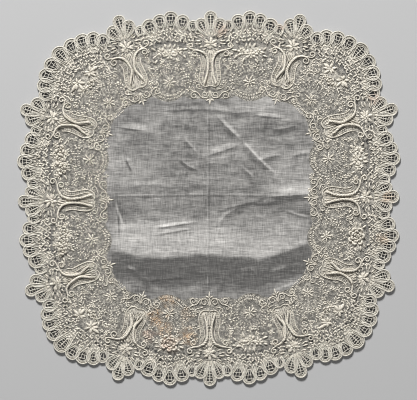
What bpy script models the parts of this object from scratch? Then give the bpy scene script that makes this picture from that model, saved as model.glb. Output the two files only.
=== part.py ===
"""Lace handkerchief: a sheer linen centre in a wide scalloped lace border.

Metres, +Z up. The cloth lies on its underside at z = 0, with the middle of
its box at the origin. +Y points to the top of the cloth as it is looked at.
Plan sizes in the tables are millimetres and go through MM.
"""

from collections import namedtuple
from math import atan2, ceil, cos, degrees, exp, hypot, pi, radians, sin

import bmesh
import bpy

MM = 0.001

# Cloth thickness and the seam between neighbouring pieces
LINEN_THICKNESS = 1.0
LACE_THICKNESS = 1.2
MOTIF_THICKNESS = 0.9
SEAM_GAP = 0.35

# Unevenness reaches its full size at this distance from the middle
DRIFT_RADIUS = 185.0

# One step along a scallop's arc, in degrees
ARC_STEP = 30.0

# Pitch of the grid that carries the creases of the linen
CREASE_PITCH = 8.0
CREASE_REACH = 112.0
CREASE_FLOOR = 0.12
CREASE_FADE = 16.0

# Span of the cutter that trims the linen, and the distance at which points are one
CUTTER_BOTTOM = -10.0
CUTTER_DEPTH = 30.0
WELD = 0.001

# Scallops of one eighth of the edge, from the middle of the top side to the corner
Scallop = namedtuple("Scallop", "name x y radius")
SCALLOPS = (
    Scallop("middle fan, long lobe", 0.0, 188.8, 7.0),
    Scallop("middle fan, side lobe", 9.7, 181.6, 6.9),
    Scallop("bay, small", 18.5, 180.2, 6.0),
    Scallop("bay, second", 29.1, 184.1, 7.9),
    Scallop("bay, tallest", 41.4, 187.8, 8.0),
    Scallop("bay, fourth", 52.7, 184.9, 7.7),
    Scallop("bay, fifth", 63.2, 178.9, 8.7),
    Scallop("bay, small outer", 72.6, 175.3, 5.9),
    Scallop("outer fan, near lobe", 84.7, 179.7, 7.3),
    Scallop("outer fan, long lobe", 94.7, 184.8, 6.9),
    Scallop("outer fan, far lobe", 101.0, 173.9, 7.2),
    Scallop("corner, first", 111.5, 166.1, 7.6),
    Scallop("corner, second", 121.0, 168.0, 8.1),
    Scallop("corner, third", 131.9, 166.7, 8.2),
    Scallop("corner, fourth", 143.0, 162.4, 8.2),
    Scallop("corner, big", 154.4, 154.4, 8.9),
)

# How far the hand-worked edge strays from true, anticlockwise from the top
Drift = namedtuple("Drift", "place dx dy")
DRIFTS = (
    Drift("top middle", 2.0, -0.1),
    Drift("top, left fan", 1.2, -0.5),
    Drift("top left corner", -0.8, -4.3),
    Drift("left, upper fan", -5.2, -2.5),
    Drift("left middle", -3.5, -3.2),
    Drift("left, lower fan", -0.3, -1.3),
    Drift("bottom left corner", 1.1, 2.1),
    Drift("bottom, left fan", 0.2, 1.5),
    Drift("bottom middle", 1.0, -0.3),
    Drift("bottom, right fan", 1.1, 4.1),
    Drift("bottom right corner", -0.4, 6.2),
    Drift("right, lower fan", 2.5, 3.7),
    Drift("right middle", 3.0, 1.7),
    Drift("right, upper fan", 5.6, -2.1),
    Drift("top right corner", 3.6, -0.7),
    Drift("top, right fan", 0.4, 0.6),
)
FAN_BEARING = 26.6
CORNER_BEARING = 45.0

# Edge of the linen over one eighth: it runs round the inner scrolls and arches
EdgePoint = namedtuple("EdgePoint", "x y")
LINEN_EDGE = (
    EdgePoint(0.0, 100.5),
    EdgePoint(9.0, 104.0),
    EdgePoint(19.0, 103.5),
    EdgePoint(27.0, 106.5),
    EdgePoint(35.0, 102.5),
    EdgePoint(43.0, 101.0),
    EdgePoint(51.0, 102.5),
    EdgePoint(60.0, 106.0),
    EdgePoint(70.0, 101.5),
    EdgePoint(80.0, 99.5),
    EdgePoint(93.5, 93.5),
)

# Soft ridges that the linen keeps from its folding
Crease = namedtuple("Crease", "x0 y0 x1 y1 width height")
CREASES = (
    Crease(-1.0, 88.0, -1.0, -88.0, 7.0, 0.7),
    Crease(-88.0, -46.0, 92.0, -44.0, 13.0, 1.5),
    Crease(3.0, 90.0, 35.0, 67.0, 8.0, 0.9),
    Crease(51.0, 44.0, 73.0, 20.0, 8.0, 0.8),
    Crease(52.0, 3.0, 80.0, 11.0, 8.0, 0.7),
    Crease(-42.0, -31.0, -4.0, -24.0, 8.0, 0.9),
    Crease(-30.0, 40.0, -6.0, 31.0, 8.0, 0.6),
    Crease(-88.0, 45.0, -80.0, 28.0, 8.0, 0.5),
    Crease(-98.0, -16.0, -96.0, -40.0, 8.0, 0.5),
)

# Half outline of a trumpet scroll: off is across its axis, up is from the fan's tip
HalfPoint = namedtuple("HalfPoint", "off up")
SCROLL_HALF = (
    HalfPoint(2.0, 97.0),
    HalfPoint(4.6, 93.0),
    HalfPoint(10.5, 92.5),
    HalfPoint(18.5, 91.0),
    HalfPoint(20.0, 85.5),
    HalfPoint(12.0, 81.0),
    HalfPoint(11.4, 70.0),
    HalfPoint(10.4, 55.0),
    HalfPoint(15.5, 47.8),
    HalfPoint(20.5, 43.0),
    HalfPoint(23.5, 36.5),
    HalfPoint(16.0, 34.5),
    HalfPoint(8.5, 31.0),
    HalfPoint(11.5, 23.0),
    HalfPoint(14.0, 13.5),
    HalfPoint(9.2, 14.0),
    HalfPoint(5.2, 17.0),
    HalfPoint(4.2, 8.0),
)
SCROLL_TOP = 100.5
SCROLL_FOOT = 4.5
SCROLL_SMOOTHING = 2

# Where each kind of motif lies over one eighth, and how far it leans to the corner
Place = namedtuple("Place", "x y lean")
MIDDLE_SCROLL = Place(0.0, 195.8, 0.0)
CORNER_SCROLL = Place(97.2, 191.2, 15.8)
BAY_SPRAY = Place(42.0, 153.0, 0.0)
CORNER_SPRAY = Place(127.0, 127.0, 45.0)
BAY_FLOWER = Place(42.0, 121.0, 0.0)
CORNER_FLOWER = Place(103.5, 103.5, 45.0)

# A spray and a flower are stars: radius, lobe depth, lobes and points for each lobe
Star = namedtuple("Star", "half_width half_height depth lobes steps")
SPRAY_STAR = Star(11.5, 9.0, 0.22, 7, 6)
FLOWER_STAR = Star(5.2, 5.2, 0.24, 5, 5)

# Colour and roughness of each fabric
Finish = namedtuple("Finish", "colour roughness")
LINEN_FINISH = Finish((0.60, 0.59, 0.57, 1.0), 0.8)
LACE_FINISH = Finish((0.66, 0.63, 0.56, 1.0), 0.85)
STITCH_FINISH = Finish((0.80, 0.77, 0.69, 1.0), 0.75)

QUARTERS = 4


def clear_scene():
    """Remove whatever the scene holds."""
    for item in list(bpy.data.objects):
        bpy.data.objects.remove(item, do_unlink=True)


def new_collection(name):
    """Return a new collection linked to the scene."""
    group = bpy.data.collections.new(name)
    bpy.context.scene.collection.children.link(group)
    return group


def fabric(name, finish):
    """Return a Principled material of the given finish."""
    material = bpy.data.materials.new(name)
    material.use_nodes = True
    shader = material.node_tree.nodes["Principled BSDF"]
    shader.inputs["Base Color"].default_value = finish.colour
    shader.inputs["Roughness"].default_value = finish.roughness
    shader.inputs["Metallic"].default_value = 0.0
    material.diffuse_color = finish.colour
    return material


def turned(x, y, quarter):
    """Turn a point by whole quarters, anticlockwise."""
    angle = quarter * pi / 2
    return x * cos(angle) - y * sin(angle), x * sin(angle) + y * cos(angle)


def drift_bearings():
    """Bearings of the drift table's rows, in degrees from the top, anticlockwise."""
    steps = (0.0, FAN_BEARING, CORNER_BEARING, 90.0 - FAN_BEARING)
    return [90.0 * quarter + step for quarter in range(QUARTERS) for step in steps]


def drifted(x, y):
    """Move a true point to where it lies on the uneven cloth."""
    bearings = drift_bearings() + [360.0]
    rows = DRIFTS + DRIFTS[:1]
    bearing = degrees(atan2(-x, y)) % 360.0
    index = max(i for i in range(len(DRIFTS)) if bearings[i] <= bearing)
    share = (bearing - bearings[index]) / (bearings[index + 1] - bearings[index])
    share = share * share * (3.0 - 2.0 * share)
    reach = min(1.0, hypot(x, y) / DRIFT_RADIUS)
    near, far = rows[index], rows[index + 1]
    dx = near.dx + (far.dx - near.dx) * share
    dy = near.dy + (far.dy - near.dy) * share
    return x + dx * reach, y + dy * reach


def round_the_cloth(eighth):
    """Repeat the points of one eighth all round, anticlockwise from the top."""
    leftward = [(-x, y) for x, y in eighth]
    back = [(-y, x) for x, y in reversed(eighth[:-1])]
    quarter = leftward + back[:-1]
    return [turned(x, y, turn) for turn in range(QUARTERS) for x, y in quarter]


def all_scallops():
    """Centre and radius of every scallop, in order round the uneven edge."""
    centres = round_the_cloth([(row.x, row.y) for row in SCALLOPS])
    radii = [row.radius for row in SCALLOPS]
    quarter = radii + radii[-2:0:-1]
    circles = []
    for index, (x, y) in enumerate(centres):
        x, y = drifted(x, y)
        circles.append((x, y, quarter[index % len(quarter)]))
    return circles


def notch(first, second):
    """Outer point where two neighbouring scallops meet."""
    (ax, ay, ar), (bx, by, br) = first, second
    apart = hypot(bx - ax, by - ay)
    along = (apart * apart + ar * ar - br * br) / (2.0 * apart)
    half = max(0.0, ar * ar - along * along) ** 0.5
    ux, uy = (bx - ax) / apart, (by - ay) / apart
    return ax + ux * along + uy * half, ay + uy * along - ux * half


def scalloped_outline():
    """Closed outline of the lace edge: an arc round each scallop."""
    circles = all_scallops()
    points = []
    for index, circle in enumerate(circles):
        x, y, radius = circle
        start = notch(circles[index - 1], circle)
        end = notch(circle, circles[(index + 1) % len(circles)])
        first = atan2(start[1] - y, start[0] - x)
        sweep = (atan2(end[1] - y, end[0] - x) - first) % (2.0 * pi)
        steps = max(2, ceil(sweep / radians(ARC_STEP)))
        for step in range(steps):
            angle = first + sweep * step / steps
            points.append((x + radius * cos(angle), y + radius * sin(angle)))
    return points


def linen_outline():
    """Closed outline of the linen, on the uneven cloth."""
    edge = round_the_cloth([(row.x, row.y) for row in LINEN_EDGE])
    return [drifted(x, y) for x, y in edge]


def widened(points, distance):
    """Move an anticlockwise outline outwards by a distance."""
    moved = []
    for index, (x, y) in enumerate(points):
        before = points[index - 1]
        after = points[(index + 1) % len(points)]
        dx, dy = after[0] - before[0], after[1] - before[1]
        length = hypot(dx, dy)
        moved.append((x + dy / length * distance, y - dx / length * distance))
    return moved


def crease_height(x, y):
    """Height of the linen above the table at a point, zero between the creases."""
    height = 0.0
    for row in CREASES:
        dx, dy = row.x1 - row.x0, row.y1 - row.y0
        share = ((x - row.x0) * dx + (y - row.y0) * dy) / (dx * dx + dy * dy)
        share = min(1.0, max(0.0, share))
        away = hypot(x - row.x0 - share * dx, y - row.y0 - share * dy)
        height += row.height * exp(-((away / row.width) ** 2))
    inside = min(LINEN_EDGE[-1].x - abs(x), LINEN_EDGE[-1].y - abs(y))
    fade = min(1.0, max(0.0, inside / CREASE_FADE))
    return max(0.0, height - CREASE_FLOOR) * fade


def mesh_object(name, mesh, group):
    """Link a mesh as an object of a collection."""
    item = bpy.data.objects.new(name, mesh)
    group.objects.link(item)
    return item


def curve_object(name, loops, bottom, thickness, group, smoothing=0):
    """Fill closed plan outlines as a flat curve and give it a thickness."""
    curve = bpy.data.curves.new(name, "CURVE")
    curve.dimensions = "2D"
    curve.fill_mode = "BOTH"
    curve.extrude = thickness * MM / 2
    for points in loops:
        spline = curve.splines.new("BEZIER" if smoothing else "POLY")
        knots = spline.bezier_points if smoothing else spline.points
        knots.add(len(points) - 1)
        for knot, (x, y) in zip(knots, points):
            knot.co = (x * MM, y * MM, 0.0) if smoothing else (x * MM, y * MM, 0.0, 1.0)
            if smoothing:
                knot.handle_left_type = "AUTO"
                knot.handle_right_type = "AUTO"
        spline.use_cyclic_u = True
        spline.resolution_u = max(1, smoothing)
    item = bpy.data.objects.new(name, curve)
    item.location.z = (bottom + thickness / 2) * MM
    group.objects.link(item)
    return item


def flat_solid(name, loops, bottom, thickness, group, smoothing=0):
    """Return a closed flat solid over plan outlines, as a mesh in place."""
    outline = curve_object(f"{name}_outline", loops, bottom, thickness, group, smoothing)
    bpy.context.view_layer.update()
    seen = outline.evaluated_get(bpy.context.evaluated_depsgraph_get())
    mesh = bpy.data.meshes.new_from_object(seen)
    mesh.transform(outline.matrix_world)
    bpy.data.objects.remove(outline, do_unlink=True)
    body = bmesh.new()
    body.from_mesh(mesh)
    bmesh.ops.remove_doubles(body, verts=body.verts, dist=WELD * MM)
    bmesh.ops.recalc_face_normals(body, faces=body.faces)
    body.to_mesh(mesh)
    body.free()
    mesh.name = name
    return mesh_object(name, mesh, group)


def creased_slab(name, group):
    """A square of cloth on a grid, lifted along its creases."""
    steps = round(2 * CREASE_REACH / CREASE_PITCH)
    body = bmesh.new()
    bmesh.ops.create_grid(body, x_segments=steps, y_segments=steps, size=CREASE_REACH * MM)
    for vertex in body.verts:
        vertex.co.z = crease_height(vertex.co.x / MM, vertex.co.y / MM) * MM
    upper = bmesh.ops.extrude_face_region(body, geom=body.faces[:])
    raised = [item for item in upper["geom"] if isinstance(item, bmesh.types.BMVert)]
    bmesh.ops.translate(body, verts=raised, vec=(0.0, 0.0, LINEN_THICKNESS * MM))
    bmesh.ops.recalc_face_normals(body, faces=body.faces)
    mesh = bpy.data.meshes.new(name)
    body.to_mesh(mesh)
    body.free()
    return mesh_object(name, mesh, group)


def build_linen(parts, cutters):
    """The sheer centre: a creased slab trimmed to the linen's edge."""
    linen = creased_slab("linen_centre", parts)
    cutter = flat_solid("linen_edge_cutter", [linen_outline()], CUTTER_BOTTOM, CUTTER_DEPTH, cutters)
    cutter.hide_render = True
    cutter.display_type = "WIRE"
    trim = linen.modifiers.new("Trim to edge", "BOOLEAN")
    trim.operation = "INTERSECT"
    trim.solver = "EXACT"
    trim.object = cutter
    return linen


def build_border(parts):
    """The scalloped lace ground round the linen."""
    loops = [scalloped_outline(), widened(linen_outline(), SEAM_GAP)]
    return flat_solid("lace_border", loops, 0.0, LACE_THICKNESS, parts)


def laid(points, place, mirrored, quarter):
    """Lay a motif's own points (across, inward) at its place on the cloth."""
    lean = radians(place.lean)
    side = -1.0 if mirrored else 1.0
    result = []
    for across, inward in points:
        x = place.x + across * cos(lean) - inward * sin(lean)
        y = place.y - across * sin(lean) - inward * cos(lean)
        result.append(drifted(*turned(side * x, y, quarter)))
    return result[::-1] if mirrored else result


def scroll_outline():
    """Closed outline of a trumpet scroll with its feathered fan."""
    right = [(row.off, row.up) for row in SCROLL_HALF]
    left = [(-off, up) for off, up in reversed(right)]
    return [(0.0, SCROLL_TOP)] + right + [(0.0, SCROLL_FOOT)] + left


def star_outline(star):
    """Closed outline of a lobed star."""
    count = star.lobes * star.steps
    points = []
    for index in range(count):
        angle = 2.0 * pi * index / count
        radius = 1.0 + star.depth * cos(star.lobes * angle)
        points.append((star.half_width * radius * sin(angle), -star.half_height * radius * cos(angle)))
    return points


def places_round(middle, corner):
    """Every place of a motif: middle or bay places, then corner ones, all round."""
    found = []
    for quarter in range(QUARTERS):
        for place in (middle, corner):
            found.append((place, False, quarter))
            on_axis = place.x == 0.0 or place.x == place.y
            if not on_axis:
                found.append((place, True, quarter))
    return found


def build_motifs(kind, outline, middle, corner, parts, smoothing=0):
    """Raise one motif at each of its places on the border."""
    bottom = LACE_THICKNESS + SEAM_GAP
    built = []
    for number, (place, mirrored, quarter) in enumerate(places_round(middle, corner), start=1):
        loop = laid(outline, place, mirrored, quarter)
        name = f"{kind}_{number:02d}"
        built.append(flat_solid(name, [loop], bottom, MOTIF_THICKNESS, parts, smoothing))
    return built


def main():
    """Build the handkerchief."""
    clear_scene()
    parts = new_collection("handkerchief")
    cutters = new_collection("cutters")
    linen = fabric("linen", LINEN_FINISH)
    lace = fabric("lace ground", LACE_FINISH)
    stitch = fabric("raised stitching", STITCH_FINISH)
    build_linen(parts, cutters).data.materials.append(linen)
    build_border(parts).data.materials.append(lace)
    motifs = build_motifs("scroll", scroll_outline(), MIDDLE_SCROLL, CORNER_SCROLL, parts, SCROLL_SMOOTHING)
    motifs += build_motifs("spray", star_outline(SPRAY_STAR), BAY_SPRAY, CORNER_SPRAY, parts)
    motifs += build_motifs("flower", star_outline(FLOWER_STAR), BAY_FLOWER, CORNER_FLOWER, parts)
    for motif in motifs:
        motif.data.materials.append(stitch)


main()
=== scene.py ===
"""Looks of a lace handkerchief that lies flat and is seen from straight above.

A sheer linen centre is set in a border of fine net, which carries raised
trumpet scrolls, flower sprays and leaf wreaths, and ends in a scalloped,
buttonholed edge. Plan sizes are millimetres on the cloth, with +Y to its top.
"""

import logging
from bisect import bisect_right
from dataclasses import dataclass, field
from enum import Enum
from math import atan2, ceil, cos, degrees, exp, hypot, pi, radians, sin
from random import Random
from typing import Iterable, Iterator, Sequence

import bmesh
import bpy
import numpy as np
from mathutils import Matrix, Vector, noise

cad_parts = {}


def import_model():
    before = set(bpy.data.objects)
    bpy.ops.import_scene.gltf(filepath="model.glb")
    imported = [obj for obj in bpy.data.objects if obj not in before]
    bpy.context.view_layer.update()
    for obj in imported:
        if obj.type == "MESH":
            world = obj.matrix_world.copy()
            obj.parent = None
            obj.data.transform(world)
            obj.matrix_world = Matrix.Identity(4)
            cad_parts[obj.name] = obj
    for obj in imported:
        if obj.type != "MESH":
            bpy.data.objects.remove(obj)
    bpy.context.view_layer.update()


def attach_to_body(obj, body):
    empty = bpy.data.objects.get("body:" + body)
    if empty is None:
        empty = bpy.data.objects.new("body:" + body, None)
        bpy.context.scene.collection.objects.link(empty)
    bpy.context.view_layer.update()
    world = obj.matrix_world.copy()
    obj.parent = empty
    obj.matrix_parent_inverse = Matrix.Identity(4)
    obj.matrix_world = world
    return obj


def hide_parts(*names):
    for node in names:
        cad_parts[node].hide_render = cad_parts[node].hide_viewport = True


Point = tuple[float, float]
Point3 = tuple[float, float, float]
Colour = tuple[float, float, float, float]

MM = 0.001
QUARTERS = 4
SIDES = (-1.0, 1.0)
SEED = 11
SPRIG_SEED = 61

log = logging.getLogger("handkerchief")


# Plan of the cloth


@dataclass(frozen=True)
class Scallop:
    """One scallop of an eighth of the edge: its round end, its window and the bars in it."""

    x: float
    y: float
    radius: float
    lean: float
    length: float
    bars: int
    long_window: bool = False

    @property
    def window(self) -> float:
        """Half width of its window."""
        return self.radius * (0.53 if self.long_window else 0.6)

    @property
    def window_depth(self) -> float:
        """How far its window reaches inward of the round end's centre."""
        return self.length - 2.6 if self.long_window else 0.58 * self.length


SCALLOPS = (
    Scallop(0.0, 188.8, 7.0, 0.0, 17.0, 6, True),
    Scallop(9.7, 181.6, 6.9, 27.0, 13.0, 5, True),
    Scallop(18.5, 180.2, 6.0, 6.0, 9.0, 2),
    Scallop(29.1, 184.1, 7.9, -8.0, 11.5, 3),
    Scallop(41.4, 187.8, 8.0, 0.0, 12.5, 3),
    Scallop(52.7, 184.9, 7.7, 8.0, 11.5, 3),
    Scallop(63.2, 178.9, 8.7, 15.0, 10.5, 3),
    Scallop(72.6, 175.3, 5.9, 8.0, 8.0, 2),
    Scallop(84.7, 179.7, 7.3, -12.0, 13.0, 5, True),
    Scallop(94.7, 184.8, 6.9, 15.8, 17.0, 6, True),
    Scallop(101.0, 173.9, 7.2, 44.0, 12.0, 5, True),
    Scallop(111.5, 166.1, 7.6, 14.0, 8.5, 2),
    Scallop(121.0, 168.0, 8.1, 8.0, 10.5, 3),
    Scallop(131.9, 166.7, 8.2, 17.0, 11.0, 3),
    Scallop(143.0, 162.4, 8.2, 31.0, 11.0, 3),
    Scallop(154.4, 154.4, 8.9, 45.0, 13.0, 5, True),
)

# Bearings from the top, anticlockwise, and how far the hand-worked cloth strays from true at each
STATIONS = tuple(90.0 * turn + step for turn in range(QUARTERS) for step in (0.0, 26.6, 45.0, 63.4))
DRIFTS: tuple[Point, ...] = (
    (2.0, -0.1), (1.2, -0.5), (-0.8, -4.3), (-5.2, -2.5),
    (-3.5, -3.2), (-0.3, -1.3), (1.1, 2.1), (0.2, 1.5),
    (1.0, -0.3), (1.1, 4.1), (-0.4, 6.2), (2.5, 3.7),
    (3.0, 1.7), (5.6, -2.1), (3.6, -0.7), (0.4, 0.6),
)
DRIFT_RADIUS = 185.0

# Edge of the linen in one eighth of the cloth
LINEN_EDGE: tuple[Point, ...] = (
    (0.0, 100.5), (9.0, 104.0), (19.0, 103.5), (27.0, 106.5), (35.0, 102.5), (43.0, 101.0),
    (51.0, 102.5), (60.0, 106.0), (70.0, 101.5), (80.0, 99.5), (93.5, 93.5),
)


# Middle and corner place (x, y, lean) of each motif in an eighth of the cloth
SCROLL_PLACES: tuple[Point3, Point3] = ((0.0, 195.8, 0.0), (97.4, 191.2, 17.6))
SPRAY_PLACES: tuple[Point3, Point3] = ((42.0, 152.0, 0.0), (126.0, 126.0, 45.0))
WREATH_PLACES: tuple[Point3, Point3] = ((42.0, 121.0, 0.0), (103.5, 103.5, 45.0))


@dataclass(frozen=True)
class Crease:
    """A crease of the linen, lit on the right of its run and shaded on the left.

    The light and shade are the widths of its flanks, the glow and dusk how much lighter
    and darker they are, the taper the share of its length in which an end dies away, and
    the soft value how broadly one flank turns into the other.
    """

    path: tuple[Point, ...]
    light: float
    shade: float
    height: float
    glow: float
    dusk: float
    taper: float = 0.35
    soft: float = 0.35


CREASES = (
    Crease(
        ((116.0, -44.0), (90.0, -52.0), (70.0, -59.0), (52.0, -64.0), (40.0, -62.0), (10.0, -60.5))
        + ((-10.0, -59.0), (-40.0, -61.5), (-70.0, -60.5), (-88.0, -57.0), (-108.0, -56.0)),
        45.0, 38.0, 1.1, 0.25, 0.25, 0.07, 2.2,
    ),
    Crease(((36.1, 58.0), (20.0, 73.5), (5.7, 88.4)), 4.5, 7.0, 0.45, 0.26, 0.10),
    Crease(((73.9, 21.5), (55.0, 38.0), (36.1, 58.0), (30.0, 64.0)), 3.5, 8.0, 0.45, 0.26, 0.12),
    Crease(((36.0, 57.5), (14.0, 49.5), (-8.0, 43.0)), 9.0, 5.0, 0.5, 0.18, 0.12),
    Crease(((-9.0, 29.4), (-20.0, 32.5), (-31.5, 41.5)), 9.0, 3.2, 0.5, 0.10, 0.34),
    Crease(((-10.1, 44.5), (-28.3, 65.3)), 3.0, 5.0, 0.25, 0.16, 0.08),
    Crease(((48.1, 20.2), (32.5, 34.8)), 3.0, 5.0, 0.25, 0.15, 0.08),
    Crease(((130.0, 6.0), (105.5, 4.4), (80.0, 3.0), (52.0, 0.5)), 15.0, 8.0, 0.7, 0.26, 0.20),
    Crease(((96.0, 1.5), (60.0, -5.0), (42.2, -4.5), (2.0, -15.0)), 5.0, 4.0, 0.35, 0.10, 0.22),
    Crease(((41.9, -3.7), (20.0, -16.0), (3.3, -33.3)), 5.0, 8.0, 0.3, 0.12, 0.06),
    Crease(((-9.0, -24.3), (-34.0, -27.8), (-62.0, -32.0)), 4.2, 2.6, 0.45, 0.34, 0.16),
    Crease(((-8.0, -30.3), (-30.0, -33.6), (-60.0, -39.0)), 3.2, 2.8, 0.3, 0.08, 0.26),
    Crease(((108.0, -20.5), (94.0, -17.6), (79.0, -13.0)), 2.8, 3.2, 0.3, 0.22, 0.14),
    Crease(
        ((-10.0, -78.5), (-28.0, -82.0), (-50.0, -84.0), (-65.0, -84.5), (-78.0, -77.0), (-90.0, -71.0)),
        6.0, 3.4, 0.5, 0.10, 0.30,
    ),
    Crease(((-73.0, -77.0), (-89.0, -71.0)), 5.0, 2.0, 0.4, 0.26, 0.06),
    Crease(((54.0, -84.0), (40.5, -71.0)), 2.6, 3.4, 0.3, 0.08, 0.18),
    Crease(((-0.4, 108.0), (-0.4, -104.0)), 2.2, 2.2, 0.15, 0.07, 0.09, 0.1),
    Crease(((64.0, 3.2), (0.0, 3.6), (-108.0, 2.6)), 2.4, 2.6, 0.15, 0.08, 0.08, 0.1),
    Crease(((-97.0, 0.0), (-92.5, -16.0), (-85.5, -33.0)), 3.2, 3.4, 0.35, 0.26, 0.10),
    Crease(((-95.2, -12.0), (-94.4, -44.0)), 2.0, 2.8, 0.25, 0.04, 0.28),
    Crease(((-78.6, 25.0), (-82.0, 33.0), (-87.4, 44.0)), 4.5, 3.2, 0.35, 0.10, 0.28),
    Crease(((-60.0, 69.5), (-80.0, 72.6), (-100.0, 74.5)), 8.0, 4.5, 0.4, 0.24, 0.10),
    Crease(((62.0, 92.0), (30.0, 89.5), (-10.0, 93.5), (-62.0, 90.5)), 4.5, 4.0, 0.25, 0.10, 0.12),
    Crease(((82.0, 83.5), (62.0, 85.5), (43.0, 88.0)), 4.5, 3.4, 0.35, 0.22, 0.12),
    Crease(((94.0, 77.0), (80.0, 73.0), (64.0, 72.0)), 4.0, 6.0, 0.35, 0.10, 0.22),
    Crease(((108.0, 48.0), (96.0, 46.5), (84.0, 43.0)), 4.0, 4.0, 0.3, 0.18, 0.14),
    Crease(((98.0, -87.0), (84.0, -91.0), (66.0, -97.5)), 3.6, 3.4, 0.3, 0.22, 0.10),
    Crease(((78.0, 45.0), (62.0, 43.0), (46.0, 36.0)), 5.0, 6.0, 0.3, 0.10, 0.10),
    Crease(((-38.0, 12.0), (-62.0, 14.5), (-92.0, 11.0)), 6.0, 6.0, 0.3, 0.10, 0.08),
    Crease(((96.0, -70.0), (78.0, -73.0), (60.0, -79.0)), 5.0, 7.0, 0.35, 0.12, 0.10),
    Crease(((18.0, 16.0), (-6.0, 14.0), (-30.0, 18.5)), 5.0, 6.0, 0.25, 0.08, 0.08),
)


@dataclass(frozen=True)
class Glow:
    """A broad light or dark area where the linen lies a little to or from the light."""

    x: float
    y: float
    half_width: float
    half_height: float
    amount: float


# Painted light and shade: these change only the linen's colour, not its shape.
GLOWS = (
    Glow(-96.0, 32.0, 34.0, 22.0, 0.16),
    Glow(92.0, 17.0, 30.0, 24.0, 0.14),
    Glow(-92.0, -6.0, 30.0, 15.0, -0.13),
    Glow(60.0, -8.0, 42.0, 10.0, -0.10),
    Glow(-62.0, -38.0, 40.0, 14.0, 0.07),
    Glow(70.0, 102.0, 50.0, 20.0, 0.14),
    Glow(80.0, 72.0, 34.0, 10.0, -0.12),
    Glow(-30.0, 84.0, 70.0, 16.0, -0.04),
    Glow(-18.0, 36.0, 34.0, 24.0, -0.06),
    Glow(22.0, 46.0, 26.0, 9.0, 0.08),
    Glow(98.0, -24.0, 22.0, 20.0, -0.10),
    Glow(-10.0, -84.0, 96.0, 16.0, -0.10),
    Glow(84.0, -84.0, 24.0, 14.0, 0.10),
    Glow(-45.0, -74.0, 44.0, 9.0, -0.09),
    Glow(46.0, -72.0, 24.0, 9.0, 0.07),
    Glow(62.0, -38.0, 26.0, 9.0, -0.06),
    Glow(-96.0, -92.0, 24.0, 14.0, 0.10),
)


@dataclass(frozen=True)
class Site:
    """Where a motif lies in one eighth of the cloth, and in which eighth."""

    plan: "ClothPlan"
    x: float
    y: float
    lean: float
    mirrored: bool
    quarter: int

    def at(self, across: float, inward: float) -> Point:
        """Find a point of the motif on the cloth.

        Args:
            across: Millimetres across the motif's axis.
            inward: Millimetres along the axis, towards the middle of the cloth.

        Returns:
            The point on the uneven cloth, in millimetres.
        """
        lean = radians(self.lean)
        side = -1.0 if self.mirrored else 1.0
        x = side * (self.x + across * cos(lean) - inward * sin(lean))
        y = self.y - across * sin(lean) - inward * cos(lean)
        return self.plan.drifted(*turned(x, y, self.quarter * pi / 2))

    def read(self, spot: Vector) -> Point:
        """Find where a point of the cloth lies in the motif.

        Args:
            spot: The point on the cloth, in millimetres.

        Returns:
            Its place (across, inward) in the motif, to about a millimetre.
        """
        moved = self.plan.drifted(spot.x, spot.y)
        true = Vector((2.0 * spot.x - moved[0], 2.0 * spot.y - moved[1]))
        x, y = turned(true.x, true.y, -self.quarter * pi / 2)
        x = (-x if self.mirrored else x) - self.x
        y = self.y - y
        lean = radians(self.lean)
        return x * cos(lean) + y * sin(lean), y * cos(lean) - x * sin(lean)


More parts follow.
